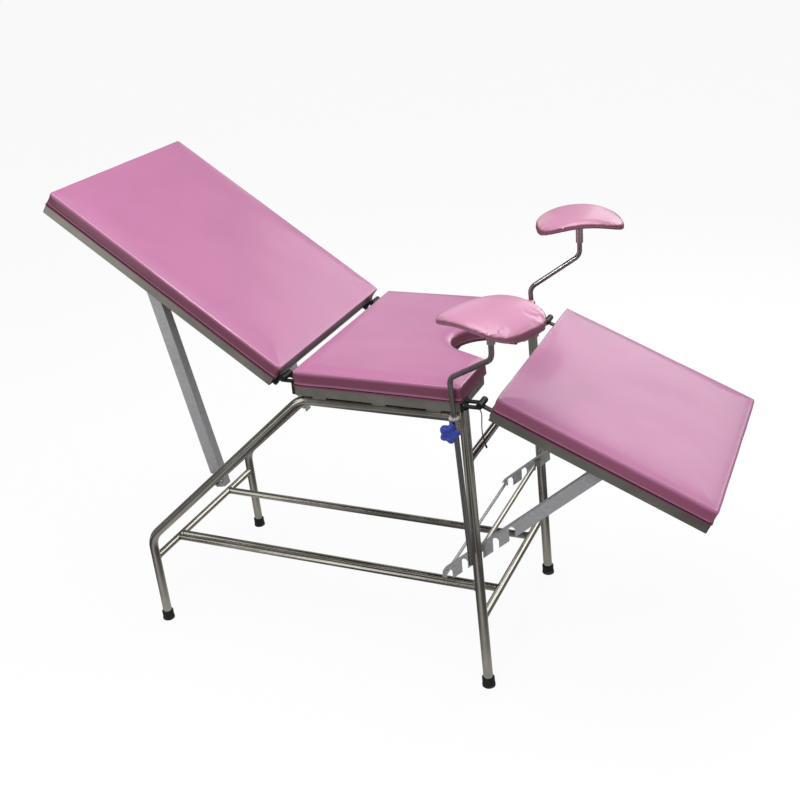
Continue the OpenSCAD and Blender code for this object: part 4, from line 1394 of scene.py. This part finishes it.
@dataclass
class Upholstery:
    """The five cushions, with the vinyl turned under their boards and its staples."""

    half_w: float = 300.0
    back_ends: tuple[float, float] = (-785.0, -41.0)
    leg_ends: tuple[float, float] = (504.0, 1044.0)
    seat_ends: tuple[float, float] = (0.0, 440.0)
    margin: float = 16.0
    rail_inner: float = 274.0
    rail_run: float = 26.0
    board_z: float = 801.0
    board_t: float = 3.0
    coat: float = 1.5
    skin: float = 0.05
    corner_inset: float = 8.0
    gap: float = 0.5
    margin_low: float = 0.9
    staple_low: float = 1.2
    staple_share: float = 0.55
    wall_slope: float = 0.3
    least_way: float = 1e-6

    def corner_list(self, ends: tuple[float, float]) -> list[tuple[float, float]]:
        """The corners of a section in the flat position, in metres.

        Args:
            ends: where the section starts and ends in X.

        Returns:
            X and Y of each corner.
        """
        inset = self.corner_inset
        return [tuple(place(x, y, 0.0))[:2]
                for x in (ends[0] + inset, ends[1] - inset)
                for y in (-self.half_w + inset, self.half_w - inset)]

    @staticmethod
    def inset(ring: Sequence[tuple[float, float]], middle: float,
              by: float) -> list[tuple[float, float]]:
        """The corners of a rectangle about a middle in X, moved inwards."""
        return [(x + by * (1 if x < middle else -1), y + by * (1 if y < 0 else -1))
                for x, y in ring]

    def strip(self, x0: float, x1: float,
              section: Section) -> tuple[bpy.types.Mesh, list[Vector]]:
        """The turned-under vinyl inside the rails of a section, and its staples' line.

        Args:
            x0: where it starts.
            x1: where it ends.
            section: the section that it belongs to.

        Returns:
            The vinyl's mesh and the corners of the line.
        """
        y0 = self.rail_inner - self.gap
        middle = (x0 + x1) / 2
        outer = [(x0, -y0), (x1, -y0), (x1, y0), (x0, y0)]
        inner = self.inset(outer, middle, self.margin)
        points: list[Vector] = []
        for z in (self.board_z - self.skin, self.board_z - self.margin_low):
            for ring in (outer, inner):
                points += [section.at(x, y, z) for x, y in ring]
        faces: list[list[int]] = []
        for i in range(4):
            k = (i + 1) % 4
            faces += [[i, k, 4 + k, 4 + i], [8 + k, 8 + i, 12 + i, 12 + k],
                      [k, i, 8 + i, 8 + k], [4 + i, 4 + k, 12 + k, 12 + i]]
        line = [section.at(x, y, self.board_z - self.staple_low)
                for x, y in self.inset(outer, middle, self.margin * self.staple_share)]
        return outward(mesh_of(points, faces)), line

    def wrap(self, node: str, section: Section) -> bpy.types.Mesh:
        """The vinyl drawn round a board's edge, as a thin coat on a copy of the board.

        Args:
            node: the board's node.
            section: the section that it belongs to.

        Returns:
            The coat's mesh.
        """
        mesh = outward(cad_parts[node].data.copy())
        mesh.transform(section.matrix.inverted())
        top = self.board_z + self.board_t
        with edited(mesh) as work:
            for point in work.verts:
                walls = [face.normal for face in point.link_faces
                         if abs(face.normal.z) < self.wall_slope]
                out = sum(walls, Vector((0.0, 0.0, 0.0)))
                out.z = 0.0
                if out.length > self.least_way:
                    point.co += out.normalized() * self.coat * MM
                high = point.co.z > (self.board_z + top) / 2 * MM
                point.co.z = (top - self.skin if high else self.board_z + self.skin) * MM
        # The whole coat takes the darker side colour: painted shade, continuing the cushion's
        # sides.
        set_attribute(mesh, "band", np.ones(len(mesh.vertices)))
        return moved(mesh, section.matrix)

    def build(self) -> None:
        """Makes the cushions and what is under them."""
        for cushion in self.cushions():
            cushion.build()
        for body, node, section in (("frame", "seat_board", SEAT), ("back", "back_board", BACK),
                                    ("leg", "leg_board", LEG)):
            carried(new_object(node + "_wrap", self.wrap(node, section), PINK_VINYL,
                               smooth=False), body)
        staples = staple_pattern(SCREW_STEEL)
        for body, ends, section in (("back", self.back_ends, BACK),
                                    ("leg", self.leg_ends, LEG)):
            strip, line = self.strip(ends[0] + self.rail_run + self.gap,
                                     ends[1] - self.rail_run - self.gap, section)
            carried(new_object(body + "_vinyl_margin", strip, PINK_VINYL, smooth=False),
                    body)
            carried(staples.grown(body + "_staples", loop_mesh([line]), SCREW_STEEL,
                                  Pitch=0.032, Crown=0.010, Wire=0.0009, Seed=11), body)

    def cushions(self) -> list[Cushion]:
        """The five cushions.

        Returns:
            The cushions, from the seat to the far crutch.
        """
        flat = [Cushion(node, body, "vinyl", finish, section, ends=ends,
                        corners=self.corner_list(ends))
                for node, body, finish, section, ends in (
                    ("seat_pad", "frame", PINK_VINYL, SEAT, self.seat_ends),
                    ("back_pad", "back", PINK_VINYL, BACK, self.back_ends),
                    ("leg_pad", "leg", LEG_VINYL, LEG, self.leg_ends))]
        saddles = [CrutchCushion("crutch_pad_" + side.word, "crutch_rest_" + side.word,
                                 "crutch_vinyl", CRUTCH_VINYL, SEAT, voxel=0.0042,
                                 shrink=0.0012, cap=0.003, fill=0.9,
                                 disc=(541.0, side.value * 366.0)) for side in Side]
        return flat + saddles


# Crutches

@dataclass
class StarKnob:
    """The five-lobed hand knob of a crutch clamp, with its neck and screw.

    The profile gives shares of the radius, and heights over the neck in millimetres.
    """

    side: Side
    x: float = 424.66
    z: float = 748.0
    neck_y: float = 331.1
    neck_l: float = 5.0
    radius: float = 24.0
    neck_r: float = 8.1
    screw_r: float = 4.0
    screw_in: float = 12.2
    lobes: int = 5
    valley: float = 0.735
    lobe_rise: float = 0.265
    lobe_power: float = 0.8
    lobe_zone: tuple[float, float] = (0.42, 0.3)
    knob_steps: int = 100
    neck_steps: int = 40
    screw_steps: int = 24
    profile: tuple[tuple[float, float], ...] = (
        (0.34, 0.0), (0.72, 1.0), (0.9, 2.2), (0.985, 5.5), (1.0, 9.9), (0.99, 15.4),
        (0.93, 18.92), (0.8, 21.01), (0.62, 21.89), (0.5, 22.0), (0.44, 21.34), (0.4, 19.8),
        (0.12, 19.36))

    def lobed(self, turn: float) -> float:
        """The knob's reach by angle, as a factor on its outer radius."""
        wave = 0.5 + 0.5 * math.cos(self.lobes * turn)
        return self.valley + self.lobe_rise * wave ** self.lobe_power

    def build(self) -> None:
        """Makes the knob about Z, then turns it outwards at the clamp."""
        out = Vector((0.0, float(self.side.value), 0.0))
        base = place(self.x, self.side.value * self.neck_y, self.z)
        turned = aimed(base, out)
        body = "star_knob_" + self.side.word
        r, n = self.radius * MM, self.neck_l * MM
        star = lathe([(share * r, n + height * MM) for share, height in self.profile],
                     self.knob_steps)
        points = rows_of(star)
        reach = np.hypot(points[:, 0], points[:, 1])
        turn = np.arctan2(points[:, 1], points[:, 0])
        factor = np.array([self.lobed(t) for t in turn])
        start, fade = self.lobe_zone
        share = np.clip((reach / r - start) / fade, 0.0, 1.0)
        points[:, :2] *= (1.0 + (factor - 1.0) * share)[:, None]
        set_coordinates(star, points)
        neck = lathe([(self.neck_r * MM, 0.0), (self.neck_r * MM, n + MM)],
                     self.neck_steps)
        screw = lathe([(self.screw_r * MM, -self.screw_in * MM),
                       (self.screw_r * MM, 0.5 * MM)], self.screw_steps)
        piece = new_object(body, outward(moved(star, turned)), BLUE_PLASTIC)
        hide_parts("knob_" + self.side.word)
        carried(piece, body)
        shank = outward(moved(joined([neck, screw]), turned))
        carried(new_object("knob_shank_" + self.side.word, shank, BLACK_PLASTIC,
                           smooth=False), body)


@dataclass
class Crutches:
    """The knobs and the screws under the discs of the two leg crutches."""

    disc: tuple[float, float] = (541.0, 366.0)
    disc_z: float = 1040.0
    screw_reach: float = 19.0
    screw_turns: tuple[float, ...] = (30.0, 150.0, 270.0)

    def build(self, screws: "Screws") -> None:
        """Makes both crutches' small parts."""
        for side in Side:
            StarKnob(side).build()
            spots = []
            for turn in map(math.radians, self.screw_turns):
                spots.append((place(self.disc[0] + self.screw_reach * math.cos(turn),
                                    side.value * self.disc[1]
                                    + self.screw_reach * math.sin(turn), self.disc_z),
                              Vector((0.0, 0.0, -1.0))))
            screws.grow("disc_screws_" + side.word, spots, "crutch_rest_" + side.word)


# Fittings

@dataclass
class Screws:
    """Pan head screws with a cross recess, set on points by Geometry Nodes."""

    head_r: float = 3.2
    head_h: float = 1.5
    dome: tuple[tuple[float, float], ...] = (
        (1.0, -0.4), (1.0, 0.2), (0.88, 0.7), (0.6, 0.93), (0.3, 1.0))
    dome_steps: int = 16
    recess: tuple[float, float, float] = (1.05, 0.2, 0.3)
    recess_edge: float = 0.04
    recess_at: float = 0.9
    tree: Pattern = field(default_factory=lambda: screw_pattern(SCREW_STEEL))

    def head(self) -> bpy.types.Object:
        """One screw head about the origin, pointing up Z.

        Returns:
            The head.
        """
        r, h = self.head_r * MM, self.head_h * MM
        dome = lathe([(share * r, h * rise) for share, rise in self.dome], self.dome_steps)
        long, narrow, deep = self.recess
        arms = [bevelled_block((r * x, r * y, h * deep), r * self.recess_edge, 1)
                for x, y in ((long, narrow), (narrow, long))]
        for arm in arms:
            arm.transform(Matrix.Translation((0, 0, h * self.recess_at)))
        return new_object("screw_head_pattern", outward(joined([dome, *arms])), SCREW_STEEL)

    def grow(self, name: str, spots: Sequence[tuple[Vector, Vector]], body: str) -> None:
        """Sets screws on spots of one body.

        Args:
            name: the piece's name.
            spots: each screw's place and direction.
            body: the body that they ride on.
        """
        source = mesh_of([spot for spot, _ in spots], [])
        layer = source.attributes.new("aim", "FLOAT_VECTOR", "POINT")
        layer.data.foreach_set("vector", [c for _, aim in spots for c in aim])
        head = self.head()
        piece = self.tree.grown(name, source, SCREW_STEEL, Head=head, Seed=5)
        bpy.data.objects.remove(head)
        carried(piece, body)


@dataclass
class Hinges:
    """Screws in the hinge leaves of the seat section, by X and direction of each face."""

    y: float = 270.0
    half: float = 13.5
    z: float = 789.0
    faces: tuple[tuple[float, float], ...] = ((-4.0, -1.0), (438.0, 1.0))

    def build(self, screws: Screws) -> None:
        """Makes the screws of the leaves that stand on the seat."""
        spots = [(place(x, side.value * self.y + step, self.z), Vector((way, 0.0, 0.0)))
                 for x, way in self.faces for side in Side
                 for step in (-self.half, self.half)]
        screws.grow("hinge_screws", spots, "frame")


@dataclass
class RailPlugs:
    """Plastic plugs in the open ends of the section rails, by body, X and direction."""

    rail: tuple[float, float] = (20.0, 25.0)
    rail_y: float = 284.0
    rail_z: float = 788.5
    lip: float = 2.0
    wall: float = 3.3
    depth: float = 3.9
    fit: float = 0.985
    lip_edge: float = 0.0008
    plug_l: float = 0.008
    plug_edge: float = 0.0006
    ends: tuple[tuple[str, float, float, Section], ...] = (("back", -779.0, -1.0, BACK),
                                                           ("leg", 1038.0, 1.0, LEG))

    def build(self) -> None:
        """Makes the plugs at the head end and the foot end."""
        wide, high = self.rail
        for body, x, way, section in self.ends:
            plugs: list[bpy.types.Mesh] = []
            for side in Side:
                for size, radius, at_x in (
                        ((self.lip * MM, wide * MM * self.fit, high * MM * self.fit),
                         self.lip_edge, x + way * self.lip / 2),
                        ((self.plug_l, (wide - self.wall) * MM, (high - self.wall) * MM),
                         self.plug_edge, x - way * self.depth)):
                    spot = place(at_x, side.value * self.rail_y, self.rail_z)
                    plugs.append(moved(bevelled_block(size, radius),
                                       Matrix.Translation(spot)))
            mesh = moved(joined(plugs), section.matrix)
            carried(new_object(body + "_rail_plugs", mesh, BLACK_PLASTIC, smooth=False), body)


# Carried-over nodes

def finish_of(node: str) -> Finish:
    """The finish that a carried-over CAD node shows.

    Args:
        node: the node's name.

    Returns:
        Its finish.
    """
    rules: tuple[tuple[tuple[str, ...], Finish], ...] = (
        (("seat_pad", "back_pad"), PINK_VINYL),
        (("leg_pad",), LEG_VINYL),
        (("crutch_pad",), CRUTCH_VINYL),
        (("crutch_rod",), BRIGHT_ROD),
        (("crutch_bush",), BUSH_NYLON),
        (("crutch_sleeve", "clamp"), TUBE_UP),
        (("knob",), BLUE_PLASTIC),
        (("feet",), BLACK_RUBBER),
        (("hinge_lanyard",), BLACK_CORD),
        (("hinge_leaves", "seat_leaves", "hinge_pins"), BLACK_IRON),
        (("notched_bar_pins", "strut_pins"), SCREW_STEEL),
        (("notched_bar", "strut", "tip_rod"), SHEET),
        (("_board",), DARK_BOARD),
        (("head_rail", "foot_rail", "hinge_rail", "mid_rail", "rear_rail", "front_rails"),
         RAIL_CROSS),
        (("_rail_", "frame_tabs"), RAIL_STEEL),
        (("crossbar", "cross_tube", "catch_rod", "catch_tube"), TUBE_ACROSS),
        (("front_leg",), TUBE_UP),
    )
    for words, finish in rules:
        if any(word in node for word in words):
            return finish
    return TUBE_ALONG


def dress_nodes() -> None:
    """Gives every carried-over CAD node its finish."""
    for name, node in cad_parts.items():
        material = finish_of(name).material()
        if not node.material_slots:
            node.data.materials.append(material)
        for held in node.material_slots:
            held.material = material
        LOG.info("%s: %s", name, material.name)


# Studio

@dataclass
class Studio:
    """The floor, the lamps, the world and the camera at the photograph's angle."""

    eye: Point = (1309.6, -2514.5, 1902.7)
    azimuth: float = 26.68
    elevation: float = 22.21
    roll: float = -5.5
    focal_px: float = 1149.29
    centre_px: tuple[float, float] = (361.12, 358.98)
    image_px: float = 800.0
    sensor: float = 36.0
    clip: tuple[float, float] = (0.05, 200.0)
    floor_half: float = 60.0
    lamps: tuple[tuple[str, Point, Point, tuple[float, float], float], ...] = (
        ("top_lamp", (0.3, -0.3, 3.4), (0.0, 0.0, 0.8), (2.6, 2.6), 52.0),
        ("edge_lamp", (0.11, -2.16, 2.9), (0.2, -0.2, 0.8), (0.4, 0.9), 19.0),
        ("left_streak", (-2.6, -3.0, 0.9), (0.0, 0.0, 0.7), (0.8, 2.0), 8.0),
        ("right_streak", (3.2, -2.2, 0.9), (0.0, 0.0, 0.7), (0.5, 2.0), 5.0),
        ("head_lamp", (-2.6, -1.6, 2.4), (0.0, 0.0, 0.7), (1.6, 1.6), 8.0),
        ("far_lamp", (1.0, 2.8, 2.1), (0.1, 0.0, 0.7), (2.6, 1.7), 27.0),
        ("seat_lamp", (-1.4, 2.5, 1.6), (0.0, 0.0, 0.8), (1.2, 1.0), 2.5))

    def camera(self) -> None:
        """Sets the camera where the photograph was taken."""
        a, e, r = (math.radians(v) for v in (self.azimuth, self.elevation, self.roll))
        look = Vector((-math.sin(a) * math.cos(e), math.cos(a) * math.cos(e), -math.sin(e)))
        right = Vector((math.cos(a), math.sin(a), 0.0))
        up = right.cross(look)
        row_x = right * math.cos(r) + up * math.sin(r)
        row_y = up * math.cos(r) - right * math.sin(r)
        data = bpy.data.cameras.new("camera")
        data.sensor_width = self.sensor
        data.lens = self.sensor * self.focal_px / self.image_px
        data.shift_x = (self.image_px / 2 - self.centre_px[0]) / self.image_px
        data.shift_y = (self.centre_px[1] - self.image_px / 2) / self.image_px
        data.clip_start, data.clip_end = self.clip
        camera = bpy.data.objects.new("camera", data)
        bpy.context.scene.collection.objects.link(camera)
        turn = Matrix((row_x, row_y, -look)).transposed().to_4x4()
        camera.matrix_world = Matrix.Translation(place(*self.eye)) @ turn
        bpy.context.scene.camera = camera

    def lamp(self, name: str, at: Point, target: Point, size: tuple[float, float],
             power: float) -> None:
        """Adds one soft lamp.

        Args:
            name: its name.
            at: where it hangs, in metres.
            target: the point that it faces.
            size: its two sides, in metres.
            power: its power in watts.
        """
        data = bpy.data.lights.new(name, "AREA")
        data.shape = "RECTANGLE"
        data.size, data.size_y = size
        data.energy = power
        lamp = bpy.data.objects.new(name, data)
        bpy.context.scene.collection.objects.link(lamp)
        lamp.matrix_world = aimed(Vector(at), Vector(at) - Vector(target))

    def floor(self) -> None:
        """Lays the floor."""
        half = self.floor_half
        points = [(-half, -half, 0.0), (half, -half, 0.0), (half, half, 0.0),
                  (-half, half, 0.0)]
        new_object("studio_floor", mesh_of(points, [[0, 1, 2, 3]]), FLOOR_PAINT,
                            smooth=False)

    def world(self) -> None:
        """A pale world, white where it is looked at."""
        world = bpy.data.worlds.new("studio")
        world.use_nodes = True
        graph = Graph(world.node_tree)
        graph.tree.nodes.clear()
        seen, glossy = graph.rays()
        lit, mirrored, white = (
            graph.light("ShaderNodeBackground", colour, strength) for colour, strength in (
                ((0.95, 0.97, 1.0), 0.36), ((0.95, 0.97, 1.0), 0.14), ((1.0, 1.0, 1.0), 1.0)))
        graph.node("ShaderNodeOutputWorld", None,
                   {0: graph.blend(seen, graph.blend(glossy, lit, mirrored), white)})
        bpy.context.scene.world = world

    def build(self) -> None:
        """Sets up the whole studio."""
        self.camera()
        self.floor()
        self.world()
        for name, at, target, size, power in self.lamps:
            self.lamp(name, at, target, size, power)
        bpy.context.scene.view_settings.view_transform = "Standard"


def main() -> None:
    """Builds the studio, then every piece of the table."""
    logging.basicConfig(level=logging.INFO, format="%(message)s")
    Studio().build()
    Lanyard().build()
    dress_nodes()
    SideFrames().build()
    Upholstery().build()
    screws = Screws()
    Crutches().build(screws)
    Hinges().build(screws)
    RailPlugs().build()


if __name__ == "__main__":
    main()
